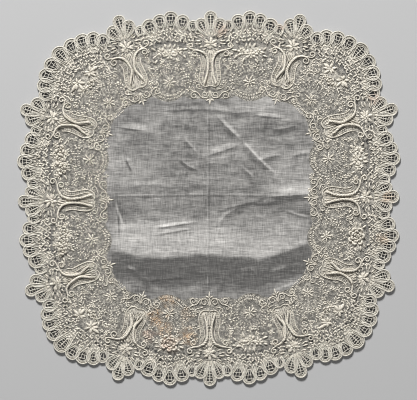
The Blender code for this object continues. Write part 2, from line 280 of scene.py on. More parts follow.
class ClothPlan:
    """The layout of the whole cloth: its edges, its unevenness and its height."""

    lift = 1.15
    cockle = 0.30
    cockle_pitch = 34.0
    waver = 0.35
    waver_pitch = 9.0

    def drifted(self, x: float, y: float) -> Point:
        """Move a true point to where it lies on the uneven cloth.

        Args:
            x: True distance to the right, in millimetres.
            y: True distance to the top, in millimetres.

        Returns:
            The uneven point, in millimetres.
        """
        bearing = degrees(atan2(-x, y)) % 360.0
        index = bisect_right(STATIONS, bearing) - 1
        start, following = (*STATIONS, 360.0)[index : index + 2]
        share = smoothed((bearing - start) / (following - start))
        near = Vector(DRIFTS[index])
        far = Vector(DRIFTS[(index + 1) % len(DRIFTS)])
        moved = near.lerp(far, share) * min(1.0, hypot(x, y) / DRIFT_RADIUS)
        return x + moved.x, y + moved.y

    def wavered(self, point: Point) -> Point:
        """Give a point the small waver of stitches laid by hand.

        Args:
            point: Where it is planned, in millimetres.

        Returns:
            Where it lies.
        """
        place = Vector((point[0], point[1], 3.0)) / self.waver_pitch
        shift = noise.noise_vector(place) * self.waver
        return point[0] + shift.x, point[1] + shift.y

    def sites(self, x: float, y: float, lean: float) -> list[Site]:
        """Repeat a place of one eighth all round the cloth.

        Args:
            x: Millimetres right of the axis of the eighth.
            y: Millimetres above the middle.
            lean: Degrees by which the motif leans to the corner.

        Returns:
            Eight sites, or four for a place on an axis or a diagonal.
        """
        sides = (False,) if x in (0.0, y) else (False, True)
        return [Site(self, x, y, lean, side, turn) for turn in range(QUARTERS) for side in sides]

    def eighths(self) -> list[Site]:
        """Give the eight sites at the cloth's middle, one for each eighth."""
        return [Site(self, 0.0, 0.0, 0.0, side, turn) for turn in range(QUARTERS) for side in (False, True)]

    def motif_sites(self, places: tuple[Point3, Point3]) -> list[Site]:
        """Give the twelve sites of a motif, in the order of its nodes.

        Args:
            places: Place and lean (x, y, lean) of the one by the middle of a side and of
                the one by the corner.

        Returns:
            The sites, quarter by quarter.
        """
        sites = []
        for quarter in range(QUARTERS):
            for place in places:
                sites += [site for site in self.sites(*place) if site.quarter == quarter]
        return sites

    def linen_outline(self, steps: int) -> list[Point]:
        """Closed outline of the linen as points at even steps of its bearing.

        Args:
            steps: How many points to give.

        Returns:
            Points anticlockwise from the right-hand end of the X axis.
        """
        eighth = smooth_path(LINEN_EDGE, 1.0)
        quarter = [(-x, y) for x, y in eighth] + [(-y, x) for x, y in reversed(eighth[:-1])]
        ring = [self.drifted(*turned(x, y, turn * pi / 2)) for turn in range(QUARTERS) for x, y in quarter]
        return evenly_turned(ring, steps)

    def net_outline(self, steps: int) -> list[Point]:
        """Closed line along the middle of the scalloped band, at even bearings.

        Args:
            steps: How many points to give.

        Returns:
            Points anticlockwise from the right-hand end of the X axis.
        """
        ring = []
        for row in SCALLOPS:
            for site in self.sites(row.x, row.y, row.lean):
                ring.append(site.at(0.0, row.radius * 0.9))
        ring.sort(key=lambda point: atan2(point[1], point[0]) % (2 * pi))
        return evenly_turned(ring, steps)

    def height(self, x: float, y: float) -> float:
        """Height of the cloth above the table at a point, in millimetres."""
        place = Vector((x, y, 0.0)) / self.cockle_pitch
        return self.lift + self.cockle * noise.noise(place)

    def on_cloth(self, point: Point, above: float) -> Point3:
        """Place a point of the plan in metres, above the cloth's surface.

        Args:
            point: Place on the cloth, in millimetres.
            above: Millimetres above the cloth.

        Returns:
            The point in metres.
        """
        x, y = point
        return x * MM, y * MM, (self.height(x, y) + above) * MM


def smooth_path(points: Sequence[Point], step: float, closed: bool = False) -> list[Point]:
    """Run a smooth curve through a few points.

    Args:
        points: The points that the curve passes through.
        step: Distance between the points of the result.
        closed: Whether the curve joins its own start.

    Returns:
        Points along the curve. A closed curve doesn't repeat its start.
    """
    count = len(points)
    knots = [Vector(point) for point in points]
    result = []
    for index in range(count if closed else count - 1):
        if closed:
            before, start, end, after = (knots[(index + i) % count] for i in (-1, 0, 1, 2))
        else:
            before, start = knots[max(index - 1, 0)], knots[index]
            end, after = knots[index + 1], knots[min(index + 2, count - 1)]
        pieces = max(1, ceil((end - start).length / step))
        for piece in range(pieces):
            t = piece / pieces
            place = (
                start * 2.0
                + (end - before) * t
                + (before * 2.0 - start * 5.0 + end * 4.0 - after) * t**2
                + (start * 3.0 - before - end * 3.0 + after) * t**3
            )
            result.append((place.x / 2.0, place.y / 2.0))
    if not closed:
        result.append(tuple(points[-1]))
    return result


def curl(centre: Point, start: float, radius: float, end_radius: float, sweep: float) -> list[Point]:
    """Points along a curl that winds in about its centre.

    Args:
        centre: Middle of the curl.
        start: Bearing of its first point, in degrees from the first axis.
        radius: Radius at the first point.
        end_radius: Radius at the last point.
        sweep: Degrees wound, positive towards the second axis.

    Returns:
        The points from the outside in.
    """
    steps = max(3, round(abs(sweep) / 45.0))
    points = []
    for index in range(steps + 1):
        share = index / steps
        angle = radians(start + sweep * share)
        reach = radius + (end_radius - radius) * share
        points.append((centre[0] + reach * cos(angle), centre[1] + reach * sin(angle)))
    return points


def evenly_turned(ring: Sequence[Point], steps: int) -> list[Point]:
    """Read a closed line round the origin at even steps of bearing.

    Args:
        ring: Points in order round the origin.
        steps: How many points to give.

    Returns:
        Points anticlockwise from the right-hand end of the X axis.
    """
    places = np.array(ring)
    bearings = np.arctan2(places[:, 1], places[:, 0]) % (2 * pi)
    order = np.argsort(bearings)
    bearings, places = bearings[order], places[order]
    wanted = np.arange(steps) * 2 * pi / steps
    xs = np.interp(wanted, bearings, places[:, 0], period=2 * pi)
    ys = np.interp(wanted, bearings, places[:, 1], period=2 * pi)
    return list(zip(xs.tolist(), ys.tolist()))


def turned(x: float, y: float, angle: float) -> Point:
    """Turn a point about the origin, by radians anticlockwise."""
    return x * cos(angle) - y * sin(angle), x * sin(angle) + y * cos(angle)


def mirrored(point: Sequence[float], side: float) -> Point:
    """Put a point of a motif's right half on its left one where the side is -1."""
    return side * point[0], point[1]


def smoothed(share: "float | np.ndarray") -> "float | np.ndarray":
    """Ease a share of 0 to 1 in and out."""
    return share * share * (3.0 - 2.0 * share)


def ease(value: float, low: float, high: float) -> float:
    """Rise smoothly from 0 at the low value to 1 at the high one."""
    return smoothed(min(1.0, max(0.0, (value - low) / (high - low))))


def face_up(body: bmesh.types.BMesh) -> None:
    """Turn every face of a flat shape upwards.

    Args:
        body: The shape.
    """
    for face in body.faces:
        face.normal_update()
        if face.normal.z < 0.0:
            face.normal_flip()


# Stitches


class Stamp(Enum):
    """Shapes of small worked pads."""

    LEAF = "leaf"
    PETAL = "petal"
    SEED = "seed"
    KNOT = "knot"


class Bouquet(Enum):
    """Kinds of flower spray."""

    TRIO = "three blossoms"
    ROSE = "rose"
    LEAFY = "leafy blossom"
    LILIES = "blossom with two lilies"


@dataclass
class Pad:
    """A small raised pad from its base to its tip."""

    stamp: Stamp
    base: Point3
    tip: Point3
    width: float
    height: float


@dataclass
class Cord:
    """A raised cord along a path, with its radius at each point."""

    points: list[Point3]
    radii: list[float]
    closed: bool


def stamp_mesh(stamp: Stamp) -> bmesh.types.BMesh:
    """Make the unit shape of a pad: one long from 0 along X, one wide, one high.

    Args:
        stamp: Which shape.

    Returns:
        A new bmesh that the caller frees.
    """
    shape = bmesh.new()
    segments, rings = (5, 3) if stamp in (Stamp.KNOT, Stamp.SEED) else (7, 5)
    bmesh.ops.create_uvsphere(shape, u_segments=segments, v_segments=rings, radius=0.5)
    bmesh.ops.rotate(shape, verts=shape.verts, matrix=Matrix.Rotation(pi / 2, 3, "Y"))
    for vertex in shape.verts:
        along = vertex.co.x * 2.0
        if stamp is Stamp.LEAF:
            taper = max(0.0, 1.0 - abs(along)) ** 0.35
            vertex.co.y *= taper * (1.0 - 0.2 * along)
            vertex.co.z *= 0.6 + 0.4 * taper
        if stamp is Stamp.PETAL:
            vertex.co.y *= 0.75 + 0.35 * along
            vertex.co.z *= 0.8 + 0.2 * along
        if stamp is Stamp.SEED:
            vertex.co.y *= 1.1 + 0.2 * along
    bmesh.ops.translate(shape, verts=shape.verts, vec=(0.5, 0.0, 0.15))
    return shape


@dataclass
class Needlework:
    """Raised stitching of one piece: cords and pads, gathered before they are made."""

    name: str
    plan: ClothPlan
    cords: list[Cord] = field(default_factory=list)
    pads: list[Pad] = field(default_factory=list)
    path_step: float = 1.1
    cord_sides: int = 1
    rise: float = 0.55
    end_size: float = 0.45
    end_growth: float = 0.4
    swell_at: float = 0.28
    swell_spread: float = 0.19

    def cord(
        self,
        site: Site,
        path: Sequence[Point],
        radius: float,
        tail: float = 0.6,
        above: float = 0.0,
        closed: bool = False,
        swell: float = 0.0,
    ) -> None:
        """Lay a cord along a path of a motif.

        Args:
            site: Where the motif lies.
            path: Points (across, inward) that the cord passes through.
            radius: Radius of the cord at its start, in millimetres.
            tail: Radius at its end as a share of the first one.
            above: How far the cord is raised on what is under it, in millimetres.
            closed: Whether the cord is a ring.
            swell: How much thicker it is in its full part, as a share.
        """
        line = smooth_path(path, self.path_step, closed)
        spots = [self.plan.wavered(site.at(*point)) for point in line]
        last = len(spots) - 1
        radii = []
        for index in range(len(spots)):
            share = index / last
            end = 1.0 if closed else min(1.0, self.end_size + self.end_growth * min(index, last - index))
            swollen = 1.0 + swell * exp(-(((share - self.swell_at) / self.swell_spread) ** 2))
            radii.append(radius * (1.0 + (tail - 1.0) * share) * end * swollen)
        places = [self.plan.on_cloth(spot, above + size * self.rise) for spot, size in zip(spots, radii)]
        self.cords.append(Cord(places, radii, closed))

    def pad(
        self,
        site: Site,
        base: Point,
        tip: Point,
        width: float,
        stamp: Stamp = Stamp.LEAF,
        above: float = 0.0,
        height: float = 0.52,
    ) -> None:
        """Work a pad between two points of a motif.

        Args:
            site: Where the motif lies.
            base: Its root (across, inward).
            tip: Its tip (across, inward).
            width: Its width in millimetres.
            stamp: Its shape.
            above: How far it is raised on what is under it, in millimetres.
            height: Its height as a share of its width.
        """
        ends = [self.plan.on_cloth(self.plan.wavered(site.at(*point)), above) for point in (base, tip)]
        self.pads.append(Pad(stamp, ends[0], ends[1], width, width * height))

    def knot(self, site: Site, spot: Point, size: float, above: float = 0.0) -> None:
        """Work a small round knot at a point of a motif."""
        across, inward = spot
        self.pad(site, (across - size / 2, inward), (across + size / 2, inward), size, Stamp.KNOT, above, 0.6)

    def cord_mesh(self) -> bpy.types.Mesh:
        """Make every cord as one mesh.

        Returns:
            The mesh, in metres.
        """
        curve = bpy.data.curves.new(f"{self.name}_cords", "CURVE")
        curve.dimensions = "3D"
        curve.twist_mode = "Z_UP"
        curve.bevel_depth = MM
        curve.bevel_resolution = self.cord_sides
        curve.use_fill_caps = True
        for cord in self.cords:
            spline = curve.splines.new("POLY")
            spline.points.add(len(cord.points) - 1)
            for knot, place, radius in zip(spline.points, cord.points, cord.radii):
                knot.co = (*place, 1.0)
                knot.radius = radius
            spline.use_cyclic_u = cord.closed
        item = bpy.data.objects.new(f"{self.name}_cords", curve)
        mesh = bpy.data.meshes.new_from_object(item)
        bpy.data.objects.remove(item, do_unlink=True)
        bpy.data.curves.remove(curve)
        return mesh

    def pad_mesh(self) -> bpy.types.Mesh:
        """Make every pad as one mesh, from repeated unit shapes.

        Returns:
            The mesh, in metres.
        """
        corners: list[np.ndarray] = []
        faces: list[list[int]] = []
        start = 0
        for stamp in Stamp:
            chosen = [pad for pad in self.pads if pad.stamp is stamp]
            if not chosen:
                continue
            shape = stamp_mesh(stamp)
            unit = np.array([vertex.co[:] for vertex in shape.verts])
            loops = [[vertex.index for vertex in face.verts] for face in shape.faces]
            shape.free()
            for pad in chosen:
                corners.append(place_unit(unit, pad))
                faces.extend([index + start for index in loop] for loop in loops)
                start += len(unit)
        mesh = bpy.data.meshes.new(f"{self.name}_pads")
        mesh.from_pydata(np.concatenate(corners).tolist() if corners else [], [], faces)
        return mesh

    def build(self) -> bpy.types.Object:
        """Make the stitching as one object at the origin.

        Returns:
            The piece.
        """
        body = bmesh.new()
        for mesh in (self.cord_mesh(), self.pad_mesh()):
            body.from_mesh(mesh)
            bpy.data.meshes.remove(mesh)
        bmesh.ops.remove_doubles(body, verts=body.verts, dist=0.002 * MM)
        bmesh.ops.recalc_face_normals(body, faces=body.faces)
        return finished(self.name, body)


def place_unit(unit: np.ndarray, pad: Pad) -> np.ndarray:
    """Stretch a unit shape between a pad's ends.

    Args:
        unit: Corners of the unit shape.
        pad: The pad to fill.

    Returns:
        The corners in metres.
    """
    base, tip = Vector(pad.base), Vector(pad.tip)
    run = tip - base
    side = Vector((-run.y, run.x, 0.0)).normalized() * pad.width * MM
    rise = Vector((0.0, 0.0, pad.height * MM))
    return np.array(base) + unit @ np.array([run, side, rise])


def finished(name: str, body: bmesh.types.BMesh, smooth: bool = True) -> bpy.types.Object:
    """Turn a bmesh into a linked object and free it.

    Args:
        name: The object's name.
        body: The shape, in metres and in place.
        smooth: Whether its faces are shaded smooth.

    Returns:
        The new object.
    """
    mesh = bpy.data.meshes.new(name)
    body.to_mesh(mesh)
    body.free()
    if smooth:
        mesh.shade_smooth()
    item = bpy.data.objects.new(name, mesh)
    bpy.context.scene.collection.objects.link(item)
    return item


# Shader maths


class Signal:
    """A shader value. Arithmetic on it adds Math nodes."""

    def __init__(self, graph: "Graph", socket: bpy.types.NodeSocket) -> None:
        """Wrap an output socket of a graph."""
        self.graph = graph
        self.socket = socket

    def maths(self, operation: str, *others: "Signal | float", clamp: bool = False) -> "Signal":
        """Apply a Math node to this value and others.

        Args:
            operation: The Math node's operation.
            *others: Its other inputs.
            clamp: Whether the result is kept between 0 and 1.

        Returns:
            The node's result.
        """
        return self.graph.maths(operation, self, *others, clamp=clamp)

    def __add__(self, other: "Signal | float") -> "Signal":
        """Add."""
        return self.maths("ADD", other)

    __radd__ = __add__

    def __sub__(self, other: "Signal | float") -> "Signal":
        """Subtract."""
        return self.maths("SUBTRACT", other)

    def __rsub__(self, other: float) -> "Signal":
        """Subtract from a number."""
        return self.graph.maths("SUBTRACT", other, self)

    def __mul__(self, other: "Signal | float") -> "Signal":
        """Multiply."""
        return self.maths("MULTIPLY", other)

    __rmul__ = __mul__

    def clamped(self) -> "Signal":
        """Keep between 0 and 1."""
        return self.maths("ADD", 0.0, clamp=True)

    def above(self, low: float, high: float) -> "Signal":
        """Rise smoothly from 0 at the low value to 1 at the high one.

        Args:
            low: Value at which the result is 0.
            high: Value at which it is 1.

        Returns:
            A value from 0 to 1.
        """
        node = self.graph.node(
            "ShaderNodeMapRange",
            {"interpolation_type": "SMOOTHSTEP"},
            {"Value": self, "From Min": low, "From Max": high},
        )
        return Signal(self.graph, node.outputs["Result"])


class Graph:
    """The node tree of one material."""

    def __init__(self, name: str) -> None:
        """Start a material with an empty tree.

        Args:
            name: The material's name.
        """
        self.material = bpy.data.materials.new(name)
        self.material.use_nodes = True
        self.tree = self.material.node_tree
        self.tree.nodes.clear()

    def node(self, kind: str, settings: dict, sockets: dict) -> bpy.types.Node:
        """Add a node.

        Args:
            kind: The node's type.
            settings: Its properties, set first.
            sockets: Values or links of its input sockets, by name or number.

        Returns:
            The new node.
        """
        node = self.tree.nodes.new(kind)
        for key, value in settings.items():
            setattr(node, key, value)
        for key, value in sockets.items():
            if isinstance(value, Signal):
                self.tree.links.new(value.socket, node.inputs[key])
            else:
                node.inputs[key].default_value = value
        return node

    def maths(self, operation: str, *values: "Signal | float", clamp: bool = False) -> Signal:
        """Add a Math node over values.

        Args:
            operation: Its operation.
            *values: Its inputs in order.
            clamp: Whether the result is kept between 0 and 1.

        Returns:
            The node's result.
        """
        settings = {"operation": operation, "use_clamp": clamp}
        node = self.node("ShaderNodeMath", settings, dict(enumerate(values)))
        return Signal(self, node.outputs[0])

    def place(self, scale: Point3 = (1.0, 1.0, 1.0), turn: float = 0.0) -> Signal:
        """Give the place on the object in millimetres, stretched and turned.

        Args:
            scale: Stretch of each axis.
            turn: Degrees of turn about Z.

        Returns:
            The vector.
        """
        source = self.node("ShaderNodeTexCoord", {}, {})
        stretch = tuple(value / MM for value in scale)
        turned = (0.0, 0.0, radians(turn))
        sockets = {"Vector": Signal(self, source.outputs["Object"]), "Scale": stretch, "Rotation": turned}
        mapped = self.node("ShaderNodeMapping", {"vector_type": "POINT"}, sockets)
        return Signal(self, mapped.outputs["Vector"])

    def grain(self, vector: Signal, scale: float, detail: float = 2.0) -> Signal:
        """Give soft noise over a vector.

        Args:
            vector: Where to read it.
            scale: Its scale.
            detail: Its fine detail.

        Returns:
            A value from 0 to 1.
        """
        sockets = {"Vector": vector, "Scale": scale, "Detail": detail, "Roughness": 0.55}
        return Signal(self, self.node("ShaderNodeTexNoise", {}, sockets).outputs[0])

    def axis(self, vector: Signal, name: str) -> Signal:
        """Give one axis of a vector."""
        return Signal(self, self.node("ShaderNodeSeparateXYZ", {}, {0: vector}).outputs[name])

    def blend(self, share: "Signal | float", first: "Signal | Colour", second: "Signal | Colour") -> Signal:
        """Mix two colours.

        Args:
            share: Share of the second colour.
            first: The first colour.
            second: The second colour.

        Returns:
            The mixed colour.
        """
        settings = {"data_type": "RGBA", "blend_type": "MIX"}
        node = self.node("ShaderNodeMix", settings, {"Factor": share, 6: first, 7: second})
        return Signal(self, node.outputs[2])

    def attribute(self, name: str) -> Signal:
        """Give a value stored on the mesh."""
        node = self.node("ShaderNodeAttribute", {"attribute_name": name}, {})
        return Signal(self, node.outputs["Fac"])

    def bump(self, height: Signal, depth: float) -> Signal:
        """Give a normal raised by a height, in millimetres of depth."""
        sockets = {"Height": height, "Distance": depth * MM, "Strength": 1.0}
        return Signal(self, self.node("ShaderNodeBump", {}, sockets).outputs["Normal"])

    def surface(self, sockets: dict) -> bpy.types.Material:
        """End the tree in a Principled shader.

        Args:
            sockets: Values or links of the shader's sockets.

        Returns:
            The finished material.
        """
        shader = self.node("ShaderNodeBsdfPrincipled", {}, sockets)
        self.node("ShaderNodeOutputMaterial", {}, {"Surface": Signal(self, shader.outputs["BSDF"])})
        return self.material


# Finishes


@dataclass(frozen=True)
class Stain:
    """A soft stain on the cloth."""

    x: float
    y: float
    radius: float
    colour: Colour
    strength: float


RUST: Colour = (0.60, 0.35, 0.16, 1.0)
ROSE: Colour = (0.62, 0.42, 0.32, 1.0)
STAINS = (
    Stain(-55.0, -124.0, 12.0, RUST, 1.0),
    Stain(-42.0, -106.0, 13.0, RUST, 0.75),
    Stain(-46.0, -136.0, 12.0, RUST, 0.7),
    Stain(-23.0, -143.0, 12.0, RUST, 1.0),
    Stain(-62.0, -143.0, 10.0, ROSE, 0.7),
    Stain(-41.0, -151.0, 13.0, ROSE, 0.6),
    Stain(-24.0, -121.0, 10.0, RUST, 0.35),
    Stain(14.0, 174.0, 10.0, ROSE, 0.6),
    Stain(74.0, 181.0, 9.0, ROSE, 0.5),
    Stain(187.0, 1.5, 10.0, RUST, 0.45),
    Stain(173.0, 105.0, 10.0, ROSE, 0.5),
    Stain(181.0, -42.0, 9.0, RUST, 0.35),
)


def stained(graph: Graph, colour: Signal, take: float) -> Signal:
    """Lay the cloth's stains over a colour.

    Args:
        graph: The material's tree.
        colour: The clean colour.
        take: How much of the stains the material takes up.

    Returns:
        The stained colour.
    """
    blotch = graph.grain(graph.place(), 0.16, 4.0)
    fleck = graph.grain(graph.place(), 0.5, 2.0).above(0.38, 0.6)
    for stain in STAINS:
        sockets = {0: graph.place((1.0, 1.0, 0.0)), 1: (stain.x, stain.y, 0.0)}
        away = graph.node("ShaderNodeVectorMath", {"operation": "DISTANCE"}, sockets)
        reach = Signal(graph, away.outputs["Value"]) + (blotch - 0.5) * stain.radius * 2.2
        mask = (1.0 - reach.above(stain.radius * 0.15, stain.radius)) * (stain.strength * take)
        colour = graph.blend(mask * (fleck * 0.6 + 0.4), colour, stain.colour)
    return colour


@dataclass(frozen=True)
class LinenFinish:
    """Sheer plain-weave linen with slubs, grey where the ground shows through, with the creases' light and
    shade painted into its colour.
    """

    dark: Colour = (0.082, 0.079, 0.075, 1.0)
    light: Colour = (0.74, 0.717, 0.682, 1.0)
    sheer: float = 0.92
    even: float = 0.248
    darkest: float = 0.055
    crease_gain: float = 1.15
    weave_depth: float = 0.12

    def slub(self, graph: Graph) -> Signal:
        """Give the uneven threads of both ways.

        Args:
            graph: The material's tree.

        Returns:
            A value about 0.
        """
        weft = graph.grain(graph.place((0.10, 1.15, 1.0)), 1.0, 3.0)
        warp = graph.grain(graph.place((1.15, 0.10, 1.0)), 1.0, 3.0)
        long_weft = graph.grain(graph.place((0.02, 0.30, 1.0)), 1.0, 2.0)
        return (weft - 0.5) * 0.95 + (warp - 0.5) * 0.75 + (long_weft - 0.5) * 0.45

    def make(self) -> bpy.types.Material:
        """Make the material.

        Returns:
            The material.
        """
        graph = Graph("sheer linen")
        slub = self.slub(graph)
        cloud = graph.grain(graph.place((0.03, 0.075, 1.0)), 1.0, 3.0)
        smudge = graph.grain(graph.place((0.10, 0.17, 1.0)), 1.0, 3.0)
        # Painted light and shade: the creases' lit and shaded flanks and the broad glows lighten or darken
        # the colour.
        lie = graph.attribute("painted_crease_shading") * self.crease_gain
        even = self.even + (cloud - 0.5) * 0.6 + (smudge - 0.5) * 0.42 + lie
        even = even.maths("MAXIMUM", self.darkest)
        tone = even * (1.0 + slub * (1.5 - even * 0.9)) + slub * 0.32
        threads = graph.grain(graph.place((0.3, 4.0, 1.0)), 1.0, 1.0)
        across = graph.grain(graph.place((4.0, 0.3, 1.0)), 1.0, 1.0)
        return graph.surface(
            {
                "Base Color": graph.blend(tone.clamped(), self.dark, self.light),
                "Roughness": 0.7,
                "Sheen Weight": 0.2,
                "Alpha": (self.sheer + slub * 0.3).clamped(),
                "Normal": graph.bump((threads + across) * 0.5 + slub, self.weave_depth),
            }
        )


@dataclass(frozen=True)
class NetFinish:
    """Fine net: a diamond mesh of thread, closer where the work is dense, with painted shade in its larger
    holes.
    """

    thread: Colour = (0.178, 0.168, 0.148, 1.0)
    worked: Colour = (0.62, 0.583, 0.505, 1.0)
    # Colour of the painted shade in the net's holes.
    gap: Colour = (0.028, 0.027, 0.024, 1.0)
    pitch: float = 1.25
    slant: float = 40.0
    hole_scale: float = 0.34
    even: float = 0.285
    mottling: float = 4.3
    stain_take: float = 0.4
    depth: float = 0.25

    def strand(self, graph: Graph) -> Signal:
        """Give the threads of the mesh.

        Args:
            graph: The material's tree.

        Returns:
            1 in the middle of a thread, 0 between them.
        """
        ridges = []
        for turn in (self.slant, -self.slant):
            run = graph.axis(graph.place(turn=turn), "X") * (1.0 / self.pitch)
            ridges.append((run.maths("FRACT") - 0.5).maths("ABSOLUTE") * 2.0)
        return ridges[0].maths("MAXIMUM", ridges[1])

    def hole_shade(self, graph: Graph, painted_hole_shade: Signal) -> Signal:
        """Give the painted shade of the larger holes, laid on the colour; the holes are not cut.

        Args:
            graph: The material's tree.
            painted_hole_shade: How much painted shade the holes take.

        Returns:
            1 in the middle of a darkest painted hole, 0 outside it.
        """
        sockets = {"Vector": graph.place((1.0, 1.0, 0.0)), "Scale": self.hole_scale}
        cells = graph.node("ShaderNodeTexVoronoi", {}, sockets)
        middle = 1.0 - Signal(graph, cells.outputs["Distance"]).above(0.26, 0.46)
        return (middle * painted_hole_shade).clamped()

    def make(self) -> bpy.types.Material:
        """Make the material.

        Returns:
            The material.
        """
        graph = Graph("net ground")
        closeness, painted_hole_shade = graph.attribute("closeness"), graph.attribute("painted_hole_shade")
        strand = self.strand(graph)
        mottle = graph.grain(graph.place(), 0.44, 3.0)
        cloud = graph.grain(graph.place(), 0.09, 2.0)
        speck = graph.grain(graph.place((1.0, 1.0, 2.0)), 0.85, 1.0).above(0.54, 0.66)
        quiet = 1.0 - painted_hole_shade * 0.6
        cover = strand + closeness * 0.6 + (mottle - 0.5) * 0.5
        tone = self.even + closeness * 0.9 + (mottle - 0.5) * quiet * self.mottling
        tone = tone + (cloud - 0.5) * 0.4 + speck * quiet * 0.34
        cloth = graph.blend(tone.clamped(), self.thread, self.worked)
        # Painted shade: dark colour in the net's holes.
        colour = graph.blend(self.hole_shade(graph, painted_hole_shade), cloth, self.gap)
        return graph.surface(
            {
                "Base Color": stained(graph, colour, self.stain_take),
                "Roughness": 0.85,
                "Alpha": cover.above(0.28, 0.62),
                "Normal": graph.bump(strand + mottle + speck, self.depth),
            }
        )


@dataclass(frozen=True)
class ThreadFinish:
    """Ivory linen thread in close, slightly raised stitches."""

    name: str = "raised stitching"
    light: Colour = (0.85, 0.795, 0.69, 1.0)
    shade: Colour = (0.42, 0.384, 0.312, 1.0)
    stitch: float = 0.85

    def make(self) -> bpy.types.Material:
        """Make the material.

        Returns:
            The material.
        """
        graph = Graph(self.name)
        stitches = graph.grain(graph.place(), self.stitch, 3.0)
        threads = graph.grain(graph.place(), 2.8, 1.0)
        patch = graph.grain(graph.place(), 0.12, 2.0)
        tone = (stitches.above(0.32, 0.66) * 0.75 + patch.above(0.3, 0.65) * 0.3).clamped()
        colour = stained(graph, graph.blend(tone, self.shade, self.light), 0.85)
        return graph.surface(
            {
                "Base Color": colour,
                "Roughness": 0.7,
                "Sheen Weight": 0.15,
                "Normal": graph.bump(threads + stitches, 0.22),
            }
        )


@dataclass(frozen=True)
class EdgeFinish(ThreadFinish):
    """The closer, flatter stitching between the cords of the edge."""

    name: str = "close stitching"
    light: Colour = (0.56, 0.53, 0.455, 1.0)
    shade: Colour = (0.27, 0.255, 0.22, 1.0)
    stitch: float = 1.0


@dataclass(frozen=True)
class RimFinish(ThreadFinish):
    """The buttonholed cords of the edge, a little greyer than the motifs."""

    name: str = "buttonhole cords"
    light: Colour = (0.72, 0.685, 0.60, 1.0)
    shade: Colour = (0.40, 0.375, 0.32, 1.0)


@dataclass(frozen=True)
class WindowShadeFinish:
    """Painted shade for the windows: a dark, partly clear sheet that stands in for the shade seen through
    them.
    """

    # Dark colours of the painted window shade.
    thread: Colour = (0.035, 0.034, 0.033, 1.0)
    crossing: Colour = (0.10, 0.095, 0.09, 1.0)
    cover: float = 0.78

    def make(self) -> bpy.types.Material:
        """Make the material.

        Returns:
            The material.
        """
        graph = Graph("painted window shade")
        mottle = graph.grain(graph.place(), 0.9, 2.0)
        return graph.surface(
            {
                "Base Color": graph.blend(mottle.above(0.45, 0.75), self.thread, self.crossing),
                "Roughness": 0.9,
                "Alpha": (self.cover + (mottle - 0.5) * 0.3).clamped(),
            }
        )


@dataclass(frozen=True)
class TableFinish:
    """A plain pale table."""

    colour: Colour = (0.45, 0.45, 0.45, 1.0)

    def make(self) -> bpy.types.Material:
        """Make the material."""
        graph = Graph("pale table")
        return graph.surface({"Base Color": self.colour, "Roughness": 0.9})


def dress(piece: bpy.types.Object, material: bpy.types.Material) -> None:
    """Give a piece its material."""
    piece.data.materials.clear()
    piece.data.materials.append(material)


# The cloth's sheets


@dataclass
class LinenCentre:
    """The sheer linen sheet with its creases."""

    plan: ClothPlan
    cells: int = 250
    edge_steps: int = 720
    flat_border: float = 96.0
    fade: float = 12.0
    ridge_power: float = 1.6
    flank_share: float = 0.6
    glow_fall: float = 1.6

    def build(self) -> bpy.types.Object:
        """Make the sheet as a square grid drawn out to the linen's edge.

        Returns:
            The piece.
        """
        body = bmesh.new()
        bmesh.ops.create_grid(body, x_segments=self.cells, y_segments=self.cells, size=1.0)
        edge = self.plan.linen_outline(self.edge_steps)
        for vertex in body.verts:
            reach = max(abs(vertex.co.x), abs(vertex.co.y))
            bearing = degrees(atan2(vertex.co.y, vertex.co.x)) % 360.0 * self.edge_steps / 360.0
            low = int(bearing)
            here, there = edge[low % self.edge_steps], edge[(low + 1) % self.edge_steps]
            spot = Vector(here).lerp(Vector(there), bearing - low) * reach
            vertex.co = self.plan.on_cloth((spot.x, spot.y), 0.0)
        spots = np.array([vertex.co[:2] for vertex in body.verts]) / MM
        rise, tone = self.lie(spots)
        # Painted light and shade of the creases, kept on the mesh for the linen's colour.
        painted_crease_shading = body.verts.layers.float.new("painted_crease_shading")
        for vertex, height, light in zip(body.verts, rise.tolist(), tone.tolist()):
            vertex.co.z += height * MM
            vertex[painted_crease_shading] = light
        return finished("linen_sheet", body)

    def lie(self, spots: np.ndarray) -> tuple[np.ndarray, np.ndarray]:
        """Work out how the linen lies at many points.

        Args:
            spots: The points, in millimetres.

        Returns:
            The height of the creases in millimetres, and the painted light and shade that they and the broad
            slopes add to the colour.
        """
        rise = np.zeros(len(spots))
        tone = np.zeros(len(spots))
        for crease in CREASES:
            away, share = across_path(spots, crease.path)
            ends = smoothed(np.clip(np.minimum(share, 1.0 - share) / crease.taper, 0.0, 1.0))
            width = np.where(away > 0.0, crease.light, crease.shade)
            slack = np.clip(1.0 - np.abs(away) / width, 0.0, 1.0)
            rise += crease.height * slack**self.ridge_power * ends
            flank = smoothed(np.clip(slack / self.flank_share, 0.0, 1.0))
            facing = 0.5 + 0.5 * np.tanh(away / crease.soft)
            # Painted light on the lit flank and painted shade on the other.
            tone += (facing * crease.glow - (1.0 - facing) * crease.dusk) * flank * ends
        # Painted broad light and shade where the linen lies to or from the light.
        for glow in GLOWS:
            reach = ((spots[:, 0] - glow.x) / glow.half_width) ** 2
            reach += ((spots[:, 1] - glow.y) / glow.half_height) ** 2
            tone += glow.amount * np.exp(-self.glow_fall * reach)
        inside = self.flat_border - np.abs(spots).max(axis=1)
        return rise * np.clip(inside / self.fade, 0.0, 1.0), tone


